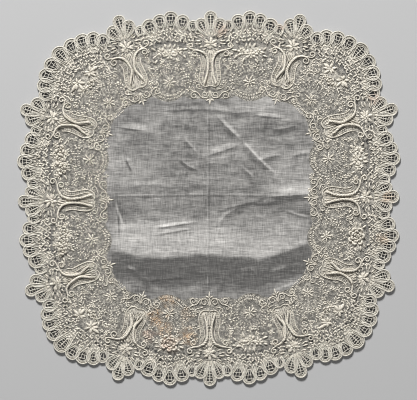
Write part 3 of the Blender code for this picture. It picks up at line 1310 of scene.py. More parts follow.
def across_path(spots: np.ndarray, path: Sequence[Point]) -> tuple[np.ndarray, np.ndarray]:
    """Measure points against a path.

    Args:
        spots: The points.
        path: The corners of the path.

    Returns:
        How far right of the path's run each point lies, and the share of the path
        that is passed at the nearest place.
    """
    corners = np.array(smooth_path(path, 4.0))
    starts, runs = corners[:-1], np.diff(corners, axis=0)
    lengths = np.hypot(runs[:, 0], runs[:, 1])
    passed = np.concatenate([[0.0], np.cumsum(lengths)])
    nearest = np.full(len(spots), 1e9)
    away = np.zeros(len(spots))
    share = np.zeros(len(spots))
    for start, run, length, before in zip(starts, runs, lengths, passed):
        reach = spots - start
        along = np.clip(reach @ run / length**2, 0.0, 1.0)
        gap = np.hypot(*(reach - along[:, None] * run).T)
        side = np.sign(run[1] * reach[:, 0] - run[0] * reach[:, 1])
        closer = gap < nearest
        nearest = np.where(closer, gap, nearest)
        away = np.where(closer, gap * side, away)
        share = np.where(closer, (before + along * length) / passed[-1], share)
    return away, share


@dataclass(frozen=True)
class Patch:
    """An oval of close stitching beside a scroll's axis, in the scroll's millimetres."""

    across: float
    inward: float
    half_width: float
    half_height: float
    amount: float

    def at(self, across: float, inward: float) -> float:
        """Give how close the stitching is at a point of the scroll's plan."""
        away = hypot((abs(across) - self.across) / self.half_width, (inward - self.inward) / self.half_height)
        return self.amount * (1.0 - ease(away, 0.8, 1.1))


PATCHES = (
    Patch(8.6, 65.0, 3.0, 14.0, 0.20),
    Patch(5.0, 75.5, 5.6, 4.0, 0.44),
    Patch(8.4, 52.0, 2.6, 6.5, 0.16),
    Patch(0.0, 73.0, 3.6, 4.0, 0.40),
    Patch(0.0, 46.5, 5.0, 7.0, 0.16),
    Patch(0.0, 30.0, 13.0, 9.0, 0.14),
    Patch(0.0, 16.0, 14.0, 12.0, 0.26),
)


@dataclass(frozen=True)
class PaintedShadowLine:
    """A painted shadow line in the net below a spray, bowed towards the edge, in the spray's millimetres; the
    net is thinner there too.
    """

    inward: float
    bow: float
    half_width: float = 19.0
    thickness: float = 0.95
    depth: float = 0.34

    def at(self, across: float, inward: float) -> float:
        """Give how much the painted shadow darkens and thins the net at a point of the spray's plan.

        Args:
            across: Millimetres across the motif's axis.
            inward: Millimetres along the axis.

        Returns:
            The amount.
        """
        share = min(1.0, abs(across) / self.half_width)
        line = self.inward + self.bow * share * share
        return self.depth * (1.0 - share**4) * exp(-(((inward - line) / self.thickness) ** 2))


# Painted shadow lines below the sprays in the bays and in the corners.
BAY_SHADOW_LINE = PaintedShadowLine(-11.2, 4.0)
CORNER_SHADOW_LINE = PaintedShadowLine(-14.4, 4.4)


@dataclass
class NetGround:
    """The ring of net between the linen and the scalloped band."""

    plan: ClothPlan
    spokes: int = 1040
    rings: int = 64
    sunk: float = 0.05
    edge_gape: float = 0.18
    spray_closeness: float = 0.42
    spray_oval: Point = (16.0, 8.0)
    scroll_middle: float = 45.0
    scroll_reach: float = 52.0
    spray_reach: float = 26.0
    scrolls: list[tuple[Site, Vector]] = field(init=False)
    sprays: list[tuple[Site, Vector]] = field(init=False)
    wreaths: list[tuple[Site, Vector]] = field(init=False)

    def __post_init__(self) -> None:
        """Find the motifs that change the net near them."""
        self.scrolls = self.middles(SCROLL_PLACES, self.scroll_middle)
        self.sprays = self.middles(SPRAY_PLACES, 0.0)
        self.wreaths = self.middles(WREATH_PLACES, 0.0)

    def middles(self, places: tuple[Point3, Point3], inward: float) -> list[tuple[Site, Vector]]:
        """Give every site of a motif with the middle of the motif."""
        return [(site, Vector(site.at(0.0, inward))) for site in self.plan.motif_sites(places)]

    def build(self) -> bpy.types.Object:
        """Make the ring from a circle grown inwards, ring by ring.

        Returns:
            The piece.
        """
        outer = self.plan.net_outline(self.spokes)
        inner = self.plan.linen_outline(self.spokes)
        body = bmesh.new()
        bmesh.ops.create_circle(body, segments=self.spokes, radius=1.0)
        loop = body.edges[:]
        for _ in range(self.rings):
            grown = bmesh.ops.extrude_edge_only(body, edges=loop)["geom"]
            loop = [item for item in grown if isinstance(item, bmesh.types.BMEdge)]
            for item in grown:
                if isinstance(item, bmesh.types.BMVert):
                    item.co.z += 1.0
        closeness = body.verts.layers.float.new("closeness")
        # Painted shade of the net's holes, kept on the mesh.
        painted_hole_shade = body.verts.layers.float.new("painted_hole_shade")
        for vertex in body.verts:
            share = vertex.co.z / self.rings
            spoke = round(atan2(vertex.co.y, vertex.co.x) / (2 * pi) * self.spokes) % self.spokes
            spot = Vector(outer[spoke]).lerp(Vector(inner[spoke]), share)
            vertex[closeness] = self.closeness(share, spot)
            vertex[painted_hole_shade] = self.painted_hole_shade(share, spot)
            vertex.co = self.plan.on_cloth((spot.x, spot.y), -self.sunk)
        face_up(body)
        return finished("net_ground", body)

    def closeness(self, share: float, spot: Vector) -> float:
        """How closely the net is worked at a point.

        Args:
            share: How far in it lies, from 0 at the scallops to 1 at the linen.
            spot: The point on the cloth.

        Returns:
            About 0 for plain net, 1 for solid stitching, less than 0 where it gapes or lies under a painted
            shadow line.
        """
        amount = -self.edge_gape * (1.0 - ease(share, 0.12, 0.2))
        for site, middle in self.scrolls:
            if (spot - middle).length <= self.scroll_reach:
                here = site.read(spot)
                amount = max(amount, *(patch.at(*here) for patch in PATCHES))
        for site, middle in self.sprays:
            if (spot - middle).length < self.spray_reach:
                across, inward = site.read(spot)
                away = hypot(across / self.spray_oval[0], inward / self.spray_oval[1])
                amount = max(amount, self.spray_closeness * (1.0 - ease(away, 0.7, 1.1)))
                # Painted shadow line below the spray: darker and thinner net.
                shadow_line = CORNER_SHADOW_LINE if site.lean else BAY_SHADOW_LINE
                amount -= shadow_line.at(across, inward)
        return amount

    def painted_hole_shade(self, share: float, spot: Vector) -> float:
        """How much painted shade the holes of the net take at a point.

        Args:
            share: How far in it lies, from 0 at the scallops to 1 at the linen.
            spot: The point on the cloth.

        Returns:
            From 0, no painted shade in the holes, to 1, the darkest.
        """
        amount = 1.0 - 0.55 * ease(share, 0.16, 0.3) - 0.25 * ease(share, 0.9, 1.0)
        near = min((spot - middle).length for _, middle in self.wreaths)
        amount *= 0.12 + 0.88 * ease(near, 8.5, 12.5)
        for site, middle in self.scrolls:
            if (spot - middle).length > self.scroll_reach:
                continue
            across, inward = site.read(spot)
            if abs(across) < 12.0 and 40.0 < inward < 80.0:
                # Darkest painted hole shade between the stems.
                in_gap = abs(across) < 2.2 and 50.0 < inward < 68.0
                amount = 1.0 if in_gap else min(amount, 0.25)
        return amount


# Raised work


@dataclass
class ScallopedEdge:
    """The buttonholed edge: petals of close stitching with laddered windows."""

    plan: ClothPlan
    rim_radius: float = 0.74
    inner_radius: float = 0.46
    bar_radius: float = 0.42
    side_bearing: float = 100.0
    arc_steps: int = 14
    window_sunk: float = 0.45
    window_root: float = 0.16
    bay_bar_share: float = 0.86

    def petal(self, radius: float, length: float, root: float) -> list[Point]:
        """Closed outline of a petal about its round end's centre.

        Args:
            radius: Radius of the round end.
            length: How far its root lies inward of the centre.
            root: Half width at the root.

        Returns:
            Points (across, inward), from the root up one side and down the other.
        """
        start = radians(self.side_bearing)
        shoulder = (radius * sin(start), -radius * cos(start))
        right = [(root, length), ((root * 2 + shoulder[0]) / 3, (length * 2 + shoulder[1]) / 3)]
        right.append(((root + shoulder[0] * 2) / 3, (length + shoulder[1] * 2) / 3))
        arc = []
        for step in range(self.arc_steps + 1):
            angle = start - 2.0 * start * step / self.arc_steps
            arc.append((radius * sin(angle), -radius * cos(angle)))
        left = [mirrored(point, -1.0) for point in reversed(right)]
        return right + arc + left + [(0.0, length + root * 0.35)]

    def window(self, row: Scallop) -> list[Point]:
        """Closed outline of a scallop's window."""
        return self.petal(row.window, row.window_depth, row.radius * self.window_root)

    def placed(self) -> Iterator[tuple[Scallop, Site]]:
        """Give every scallop of the edge with its site.

        Yields:
            The scallop's sizes and its site.
        """
        for row in SCALLOPS:
            for site in self.plan.sites(row.x, row.y, row.lean):
                yield row, site

    def ground(self) -> bpy.types.Object:
        """Make the close stitching of every petal, each a ring round its window.

        Returns:
            The piece.
        """
        body = bmesh.new()
        for row, site in self.placed():
            below = -0.02 - 0.05 * (SCALLOPS.index(row) % 3)
            rim = self.petal(row.radius - 0.25, row.length + 2.0, row.radius * 0.5)
            edges = []
            for outline in (rim, self.window(row)):
                ring = [body.verts.new(self.plan.on_cloth(site.at(*point), below)) for point in outline]
                edges += [body.edges.new((ring[i - 1], ring[i])) for i in range(len(ring))]
            bmesh.ops.bridge_loops(body, edges=edges)
        face_up(body)
        return finished("scallop_ground", body)

    def shade(self) -> bpy.types.Object:
        """Make the dark sheet that lies in each window behind the ladder, painted shade where the window is
        open.

        Returns:
            The piece.
        """
        body = bmesh.new()
        for row, site in self.placed():
            spots = [self.plan.on_cloth(site.at(*point), -self.window_sunk) for point in self.window(row)]
            bmesh.ops.contextual_create(body, geom=[body.verts.new(spot) for spot in spots])
        face_up(body)
        return finished("window_shade_sheet", body)

    def cords(self) -> bpy.types.Object:
        """Make the rims, the window cords and the ladder bars.

        Returns:
            The piece.
        """
        work = Needlework("scallop_cords", self.plan, path_step=2.2)
        for row, site in self.placed():
            self.stitch(work, row, site)
            self.ladder(work, row, site)
        return work.build()

    def stitch(self, work: Needlework, row: Scallop, site: Site) -> None:
        """Stitch the rim, the inner line and the window's cord of one scallop.

        Args:
            work: The stitching that they join.
            row: The scallop's sizes.
            site: Where it lies.
        """
        rim = self.petal(row.radius - self.rim_radius, row.length, row.radius * 0.45)
        work.cord(site, rim[1:-2], self.rim_radius, tail=1.0, above=0.1)
        line = self.petal(row.radius * 0.72, row.length - 0.8, row.radius * 0.30)
        work.cord(site, line[:-1], self.inner_radius, tail=1.0)
        work.cord(site, self.window(row), self.inner_radius, tail=1.0, above=0.15, closed=True)

    def ladder(self, work: Needlework, row: Scallop, site: Site) -> None:
        """Cross a window with ribs and bars.

        Args:
            work: The stitching that it joins.
            row: The scallop's sizes.
            site: Where it lies.
        """
        window, deep = row.window, row.window_depth
        if row.long_window:
            radius = self.bar_radius
            work.cord(site, [(0.0, -window * 0.75), (0.0, deep)], radius * 1.4, tail=0.8)
        else:
            radius = self.bar_radius * self.bay_bar_share
            for side in SIDES:
                rib = ((0.4 * window, -window * 0.8), (0.34 * window, 0.0), (0.12 * window, deep))
                work.cord(site, [mirrored(point, side) for point in rib], radius, tail=0.9)
        for bar in range(row.bars):
            inward = -window * 0.42 + (deep * 0.82 + window * 0.42) * bar / (row.bars - 1)
            half = window * (1.0 - 0.62 * max(0.0, inward / deep))
            work.cord(site, [(-half, inward - 0.3), (0.0, inward), (half, inward - 0.3)], radius, 1.0)
            if row.long_window:
                work.knot(site, (0.0, inward), radius * 3.6, 0.2)


# Lines of a trumpet scroll's right half (across, inward)
STRAIGHT_STEM: tuple[Point, ...] = (
    (5.8, 75.0), (4.6, 71.2), (3.2, 66.4), (2.4, 60.6), (2.2, 55.0), (3.0, 50.0), (5.2, 45.4), (8.8, 42.4),
)
FORKED_STEM: tuple[Point, ...] = (
    (6.2, 70.4), (4.4, 66.2), (2.5, 62.4), (1.7, 58.6), (2.4, 54.0), (3.8, 49.4), (5.8, 45.6), (8.8, 42.6),
)
BELL_RIM: tuple[Point, ...] = (
    (0.0, 78.0), (4.8, 79.2), (8.8, 76.8), (11.0, 71.5),
    (10.8, 65.0), (9.7, 59.0), (9.5, 53.5), (11.3, 48.6),
)
BELL_LINING: tuple[Point, ...] = (
    (1.6, 71.0), (3.4, 75.4), (6.4, 75.4), (7.8, 70.0), (6.8, 63.6), (5.3, 57.0), (5.5, 51.5), (7.6, 46.8),
)
ARM_CURL: Point = (20.4, 36.4)


@dataclass
class Motif:
    """Raised work that is stitched from one site, with its own source of unevenness."""

    site: Site
    name: str
    seed: int | str
    work: Needlework = field(init=False)
    chance: Random = field(init=False)

    def __post_init__(self) -> None:
        """Start the stitching."""
        self.work = Needlework(self.name, self.site.plan)
        self.chance = Random(self.seed)

    def bearings(self, count: int, turn: float, sway: float) -> Iterator[float]:
        """Give even bearings round a flower, each a little off by chance.

        Args:
            count: How many petals or leaves it has.
            turn: Bearing of the first one, in degrees.
            sway: Greatest error of a bearing, in degrees.

        Yields:
            The bearings, in radians.
        """
        for index in range(count):
            yield radians(turn + 360.0 * index / count + self.chance.uniform(-sway, sway))

    def knot(self, spot: Point, size: float, above: float = 0.0) -> None:
        """Work a small round knot."""
        self.work.knot(self.site, spot, size, above)

    def star(self, centre: Point, reach: float, width: float, leaves: int = 5) -> None:
        """Work a little star of leaves.

        Args:
            centre: Its middle (across, inward).
            reach: Length of its leaves from the middle.
            width: Width of a leaf.
            leaves: How many leaves it has.
        """
        heart, chance = Vector(centre), self.chance
        for angle in self.bearings(leaves, chance.uniform(0.0, 360.0), 14.0):
            aim = Vector((cos(angle), sin(angle)))
            start = heart + aim * reach * 0.12
            end = heart + aim * reach * chance.uniform(0.8, 1.15)
            self.work.pad(self.site, tuple(start), tuple(end), width * chance.uniform(0.85, 1.15), Stamp.SEED)


@dataclass
class TrumpetScroll(Motif):
    """A trumpet-shaped scroll from the fan at the edge to its tip at the linen."""

    stem_radius: float = 0.60
    twist_pitch: float = 3.7
    twist_length: float = 4.6
    twist_angle: float = 24.0
    blossom_centre: Point = (0.0, 34.0)

    def build(self) -> bpy.types.Object:
        """Make the whole scroll as one stitched piece.

        Returns:
            The piece.
        """
        for side in SIDES:
            for stitch in (self.stem, self.bell, self.throat, self.foot, self.crest, self.fan):
                stitch(side)
        self.tip()
        self.blossom()
        return self.work.build()

    def lay(self, side: float, path: Sequence[Point], radius: float, tail: float, above: float = 0.0) -> None:
        """Lay a cord of one half, mirrored to its side."""
        self.work.cord(self.site, [mirrored(point, side) for point in path], radius, tail, above)

    def leaf(self, side: float, base: Point, tip: Point, width: float) -> None:
        """Work a leaf of one half, mirrored to its side."""
        self.work.pad(self.site, mirrored(base, side), mirrored(tip, side), width, Stamp.LEAF, 0.15)

    def stem(self, side: float) -> None:
        """Stitch one half of the twisted stem and the two curls at its foot.

        Args:
            side: -1 for the left half, 1 for the right one.
        """
        stem = FORKED_STEM if self.site.lean else STRAIGHT_STEM
        arm = [(13.0, 41.0), (16.8, 40.5), (20.0, 39.8)] + curl(ARM_CURL, 80.0, 3.3, 1.0, -420.0)
        path = [mirrored(point, side) for point in (*stem, *arm)]
        self.work.cord(self.site, path, self.stem_radius, 1.0, 0.1, swell=1.0)
        line = smooth_path(stem, self.twist_pitch)
        slant = Matrix.Rotation(radians(self.twist_angle), 2)
        for here, there in zip(line, line[1:]):
            run = (Vector(there) - Vector(here)).normalized() * (self.twist_length / 2.0)
            run.rotate(slant)
            base, tip = (mirrored(Vector(here) + run * way, side) for way in SIDES)
            self.work.pad(self.site, base, tip, 2.4, Stamp.LEAF, 1.45, 0.5)
        spiral = [(7.2, 44.4), (10.2, 42.3), (13.4, 41.4)] + curl((16.2, 44.9), -80.0, 3.6, 1.1, 450.0)
        self.lay(side, spiral, 0.66, 0.8, 0.25)

    def bell(self, side: float) -> None:
        """Stitch one half of the bell: its rim, its lining and the rungs between them.

        Args:
            side: -1 for the left half, 1 for the right one.
        """
        self.lay(side, BELL_RIM, 0.50, 0.9, 0.1)
        self.lay(side, BELL_LINING, 0.36, 0.9)
        for rung in range(13):
            inward = 49.5 + 2.1 * rung
            half = 1.5 + 0.3 * ease(inward, 58.0, 66.0)
            middle = 7.6 + 1.6 * ease(inward, 54.0, 68.0)
            path = [(middle - half, inward), (middle, inward + 0.7), (middle + half, inward)]
            self.lay(side, path, 0.24, 1.0)

    def throat(self, side: float) -> None:
        """Fill one half of the middle with ribs, and with rungs where the stem isn't forked.

        Args:
            side: -1 for the left half, 1 for the right one.
        """
        if self.site.lean:
            self.lay(side, [(3.0, 71.0), (2.2, 66.6), (1.0, 62.0), (0.2, 58.0)], 0.60, 0.8, 0.1)
            self.lay(side, [(0.0, 66.0), (0.0, 77.0)], 0.40, 0.9)
            self.lay(side, [(4.4, 69.6), (4.2, 76.6)], 0.42, 0.9)
            self.lay(side, [(3.4, 58.4), (4.2, 54.0), (5.6, 49.6), (7.6, 46.2)], 0.50, 0.8)
            return
        for rung in range(5):
            inward = 49.0 + 3.2 * rung
            self.lay(side, [(0.0, inward), (2.2, inward + 1.6)], 0.38, 1.0)
        self.lay(side, [(0.0, 63.6), (0.0, 77.4)], 0.42, 0.9)
        self.lay(side, [(1.5, 64.0), (1.9, 70.0), (2.8, 77.0)], 0.42, 0.9)

    def foot(self, side: float) -> None:
        """Stitch the cords and leaves where one half of the stem spreads to the blossom.

        Args:
            side: -1 for the left half, 1 for the right one.
        """
        for path in (((0.0, 42.0), (0.0, 56.5)), ((2.2, 42.4), (1.3, 51.0)), ((4.2, 42.4), (2.9, 46.6))):
            self.lay(side, path, 0.46, 0.7)
        for base, tip in (
            ((0.4, 41.0), (1.8, 46.0)),
            ((2.6, 40.4), (4.6, 44.2)),
            ((5.0, 39.4), (7.8, 41.8)),
            ((7.8, 36.8), (11.6, 38.2)),
            ((9.6, 33.4), (13.2, 34.8)),
        ):
            self.leaf(side, base, tip, 1.7)

    def crest(self, side: float) -> None:
        """Stitch one half of the C-scrolls between the trumpet and its tip.

        Args:
            side: -1 for the left half, 1 for the right one.
        """
        rise = [(6.4, 91.6), (9.8, 89.4), (12.4, 85.9), (15.6, 84.4), (18.6, 85.6)]
        for path, radius in (
            ([(0.8, 84.0), (1.4, 88.0), (3.0, 90.6)] + curl((5.4, 87.6), 110.0, 3.6, 1.0, -420.0), 0.48),
            (rise + curl((16.6, 88.6), -30.0, 3.2, 0.9, 420.0), 0.48),
            ([(15.0, 84.6), (18.2, 83.6)] + curl((18.4, 81.0), 90.0, 2.4, 0.8, -330.0), 0.46),
            ([(7.0, 82.4), (10.4, 81.6)] + curl((11.8, 78.6), 100.0, 2.7, 0.9, -380.0), 0.46),
        ):
            self.lay(side, path, radius, 0.8, 0.1)
        for spot in ((2.4, 85.6), (4.4, 81.2), (13.0, 91.2)):
            self.knot(mirrored(spot, side), 1.2)

    def fan(self, side: float) -> None:
        """Stitch one half of the leaves and cords that spread from the blossom into the fan.

        Args:
            side: -1 for the left half, 1 for the right one.
        """
        for base, tip, width in (
            ((9.8, 31.4), (15.6, 31.2), 2.1),
            ((8.0, 28.2), (12.8, 25.6), 2.1),
            ((3.2, 26.6), (6.2, 22.4), 1.9),
            ((0.9, 26.2), (1.5, 20.8), 1.6),
            ((13.6, 28.4), (18.0, 26.6), 1.8),
            ((16.6, 31.8), (21.0, 31.0), 1.7),
            ((12.4, 35.0), (16.4, 34.0), 1.6),
            ((18.4, 28.0), (21.8, 25.4), 1.7),
            ((13.6, 24.6), (16.4, 21.8), 1.7),
        ):
            self.leaf(side, base, tip, width)
        for start, end in (
            ((1.8, 26.4), (3.6, 20.6)),
            ((4.6, 26.4), (9.4, 21.0)),
            ((6.8, 27.4), (14.6, 23.2)),
        ):
            middle = ((start[0] + end[0]) / 2.0 - 0.4, (start[1] + end[1]) / 2.0 - 0.6)
            self.lay(side, [start, middle, end], 0.40, 0.9)

    def tip(self) -> None:
        """Stitch the pointed tip with its two side leaves and its stalk."""
        self.work.pad(self.site, (0.0, 92.0), (0.0, 98.8), 2.0, Stamp.LEAF, 0.1)
        for side in SIDES:
            self.leaf(side, (0.4, 92.2), (4.2, 94.2), 1.8)
        self.work.cord(self.site, [(0.0, 92.0), (0.0, 88.0), (0.0, 83.0)], 0.5, 0.8)

    def blossom(self) -> None:
        """Stitch the blossom, of three rings of petals."""
        for count, turn, low, high, width, above in (
            (7, 60.0, 3.0, 8.0, 2.4, 0.0),
            (6, 90.0, 1.4, 8.2, 3.6, 0.3),
            (5, 54.0, 0.8, 4.2, 2.5, 0.8),
        ):
            for angle in self.bearings(count, turn, 9.0):
                aim = Vector((cos(angle), sin(angle) * 0.88)) * self.chance.uniform(0.86, 1.06)
                base = Vector(self.blossom_centre) + aim * low
                tip = base + aim * (high - low)
                self.work.pad(self.site, tuple(base), tuple(tip), width, Stamp.LEAF, above, 0.22)
        self.knot(self.blossom_centre, 1.8, 1.3)


@dataclass
class FlowerSpray(Motif):
    """A spray of flower heads, leaves and little stars in a bay or a corner."""

    kind: Bouquet

    def build(self) -> bpy.types.Object:
        """Make the spray as one stitched piece.

        Returns:
            The piece.
        """
        stitches = {
            Bouquet.TRIO: self.trio,
            Bouquet.ROSE: self.rose,
            Bouquet.LEAFY: self.leafy,
            Bouquet.LILIES: self.lilies,
        }
        stitches[self.kind]()
        return self.work.build()

    def head(self, centre: Point, reach: float, petals: int, width: float) -> None:
        """Stitch a flower head of round petals in two rings.

        Args:
            centre: Its middle (across, inward).
            reach: Length of the outer petals from the middle.
            petals: How many outer petals it has.
            width: Width of an outer petal.
        """
        heart, chance = Vector(centre), self.chance
        for count, low, high, share, above in ((petals, 0.30, 1.0, 1.0, 0.1), (5, 0.06, 0.46, 0.7, 0.6)):
            for angle in self.bearings(count, chance.uniform(0.0, 60.0), 9.0):
                aim = Vector((cos(angle), sin(angle) * 0.9)) * reach
                base, tip = heart + aim * low, heart + aim * high * chance.uniform(0.86, 1.14)
                self.work.pad(self.site, tuple(base), tuple(tip), width * share, Stamp.PETAL, above, 0.4)
        self.knot(centre, 1.4, 1.0)

    def rosette(self, centre: Point, rings: Sequence[Point3]) -> None:
        """Stitch a round blossom of curved petals.

        Args:
            centre: Its middle (across, inward).
            rings: How many petals each ring has, how far out they lie and their thickness,
                from the outside in.
        """
        chance = self.chance
        for level, (count, away, radius) in enumerate(rings):
            half = radians(138.0 / count)
            for middle in self.bearings(count, chance.uniform(0.0, 90.0), 7.0):
                reach = away * chance.uniform(0.92, 1.08)
                petal = []
                for step, share in ((-1.0, 0.84), (-0.5, 1.0), (0.0, 1.06), (0.5, 1.0), (1.0, 0.84)):
                    angle, far = middle + step * half, reach * share
                    petal.append((centre[0] + far * cos(angle), centre[1] + 0.9 * far * sin(angle)))
                self.work.cord(self.site, petal, radius * chance.uniform(0.85, 1.1), 0.9, 0.35 * level)
        self.knot(centre, 1.6, 0.7)

    def leaf(self, base: Point, tip: Point, width: float) -> None:
        """Work one uneven leaf.

        Args:
            base: Its root (across, inward).
            tip: Its tip (across, inward).
            width: Its usual width.
        """
        chance = self.chance
        end = (tip[0] + chance.uniform(-1.3, 1.3), tip[1] + chance.uniform(-1.3, 1.3))
        start = (base[0] + chance.uniform(-0.7, 0.7), base[1] + chance.uniform(-0.7, 0.7))
        size, above = width * chance.uniform(0.85, 1.2), chance.uniform(0.0, 0.3)
        self.work.pad(self.site, start, end, size, Stamp.LEAF, above, 0.5)

    def twig(self, side: float, spots: Sequence[Point], runs: Sequence[Point], width: float) -> None:
        """Stitch a twig of uneven leaves.

        Args:
            side: -1 for the left of the spray, 1 for its right.
            spots: Where its leaves start on the right (across, inward).
            runs: How far each leaf of a spot reaches (across, inward).
            width: Width of a leaf.
        """
        for across, inward in spots:
            for run in runs:
                tip = (across + run[0], inward + run[1])
                self.leaf(mirrored((across, inward), side), mirrored(tip, side), width)

    def trio(self) -> None:
        """Stitch a crowd of round blossoms with leaves round them."""
        for centre, size in (((0.6, 1.2), 1.0), ((-9.8, 2.0), 0.86), ((10.6, 0.6), 0.86)):
            self.rosette(centre, ((5, 5.0 * size, 1.25), (3, 2.3 * size, 1.0)))
        for centre, reach, width in (
            ((-4.6, 7.0), 3.8, 2.3),
            ((5.8, 6.8), 3.8, 2.3),
            ((-5.4, -6.2), 3.8, 2.3),
            ((5.4, -6.2), 3.8, 2.3),
            ((-15.6, -2.6), 3.6, 2.2),
            ((15.8, -3.4), 3.6, 2.2),
        ):
            self.head(centre, reach, 6, width)
        for side in SIDES:
            for base, tip, width in (
                ((15.4, 4.6), (19.2, 8.0), 2.1),
                ((18.0, 0.6), (22.2, 1.4), 2.1),
                ((10.0, 8.0), (12.0, 12.0), 2.0),
                ((4.6, 8.6), (5.4, 12.4), 1.9),
                ((10.4, -6.6), (13.0, -9.2), 2.0),
            ):
                self.leaf(mirrored(base, side), mirrored(tip, side), width)

    def rose(self) -> None:
        """Stitch a round rose with a leafy twig on each side."""
        self.rosette((0.0, 0.4), ((7, 8.4, 1.25), (6, 5.4, 1.15), (3, 2.5, 0.95)))
        spots = ((12.0, 3.0), (15.0, 4.4), (18.0, 5.6), (21.0, 7.4), (24.0, 9.0))
        for side in SIDES:
            self.twig(side, spots, ((2.2, 4.0), (3.4, -2.6)), 1.7)
            for base, tip in (
                ((9.6, -3.0), (15.6, -4.2)),
                ((8.2, -5.8), (12.6, -8.8)),
                ((10.8, 0.4), (16.4, 0.2)),
            ):
                self.leaf(mirrored(base, side), mirrored(tip, side), 2.1)

    def burst(self, centre: Point, leaves: int, length: float) -> None:
        """Stitch long leaves that burst from a knot.

        Args:
            centre: The knot's place (across, inward).
            leaves: How many leaves it has.
            length: Their usual length.
        """
        across, inward = centre
        for angle in self.bearings(leaves, self.chance.uniform(0.0, 50.0), 12.0):
            reach = length * self.chance.uniform(0.8, 1.15)
            tip = (across + reach * cos(angle), inward + 0.92 * reach * sin(angle))
            self.leaf((across + cos(angle), inward + sin(angle)), tip, 2.8)
        self.knot(centre, 1.8, 0.9)

    def leafy(self) -> None:
        """Stitch a blossom between two bursts of long leaves."""
        self.head((0.2, 1.8), 6.4, 7, 3.7)
        for centre in ((-8.8, -1.0), (9.2, -0.4)):
            self.burst(centre, 7, 5.4)
        for base, tip in (
            ((-13.6, 2.6), (-17.6, 6.4)),
            ((-13.8, -2.6), (-18.4, -3.4)),
            ((-5.6, 5.8), (-8.4, 10.4)),
            ((5.4, 6.8), (8.0, 11.0)),
            ((13.8, 3.0), (18.4, 5.4)),
            ((14.2, -2.2), (18.6, -4.2)),
            ((-4.0, -5.4), (-4.6, -9.8)),
            ((4.4, -5.2), (5.6, -9.6)),
            ((0.4, -5.0), (0.4, -9.8)),
            ((-17.6, 0.8), (-21.4, 2.0)),
            ((12.4, 6.4), (14.6, 10.8)),
        ):
            self.leaf(base, tip, 2.5)
        for spot in ((-22.0, 2.0), (-19.6, -6.6), (22.6, -2.0), (21.4, 9.0), (-19.6, 11.6), (2.6, 14.6)):
            self.star(spot, self.chance.uniform(2.5, 3.1), 1.5)

    def lilies(self) -> None:
        """Stitch a blossom over two pointed lilies with leafy twigs."""
        self.rosette((0.0, 4.4), ((5, 3.6, 1.0), (3, 1.7, 0.8)))
        spots = ((10.4, 4.0), (13.4, 4.8), (16.4, 6.0), (19.4, 7.8), (22.4, 9.8))
        for side in SIDES:
            self.head((side * 6.4, 4.2), 3.4, 6, 2.0)
        for side in SIDES:
            self.lily(side)
            self.twig(side, spots, ((1.8, 3.8), (3.4, -2.0)), 1.6)
            for spot in ((19.6, -0.4), (4.6, 11.6), (24.4, 3.6)):
                self.star(mirrored(spot, side), self.chance.uniform(2.4, 3.0), 1.5)

    def lily(self, side: float) -> None:
        """Stitch one lily of pointed petals.

        Args:
            side: -1 for the left of the spray, 1 for its right.
        """
        heart = Vector((side * 8.4, -5.4))
        for bearing, length, width in (
            (8.0, 10.4, 3.9),
            (84.0, 9.4, 3.6),
            (44.0, 7.4, 3.4),
            (140.0, 6.6, 3.2),
            (-50.0, 6.4, 3.2),
            (-120.0, 5.8, 3.0),
            (188.0, 5.4, 2.8),
        ):
            aim = Vector((side * cos(radians(bearing)), sin(radians(bearing))))
            self.leaf(tuple(heart + aim * 0.6), tuple(heart + aim * length), width)
        self.knot(tuple(heart), 1.5, 0.5)


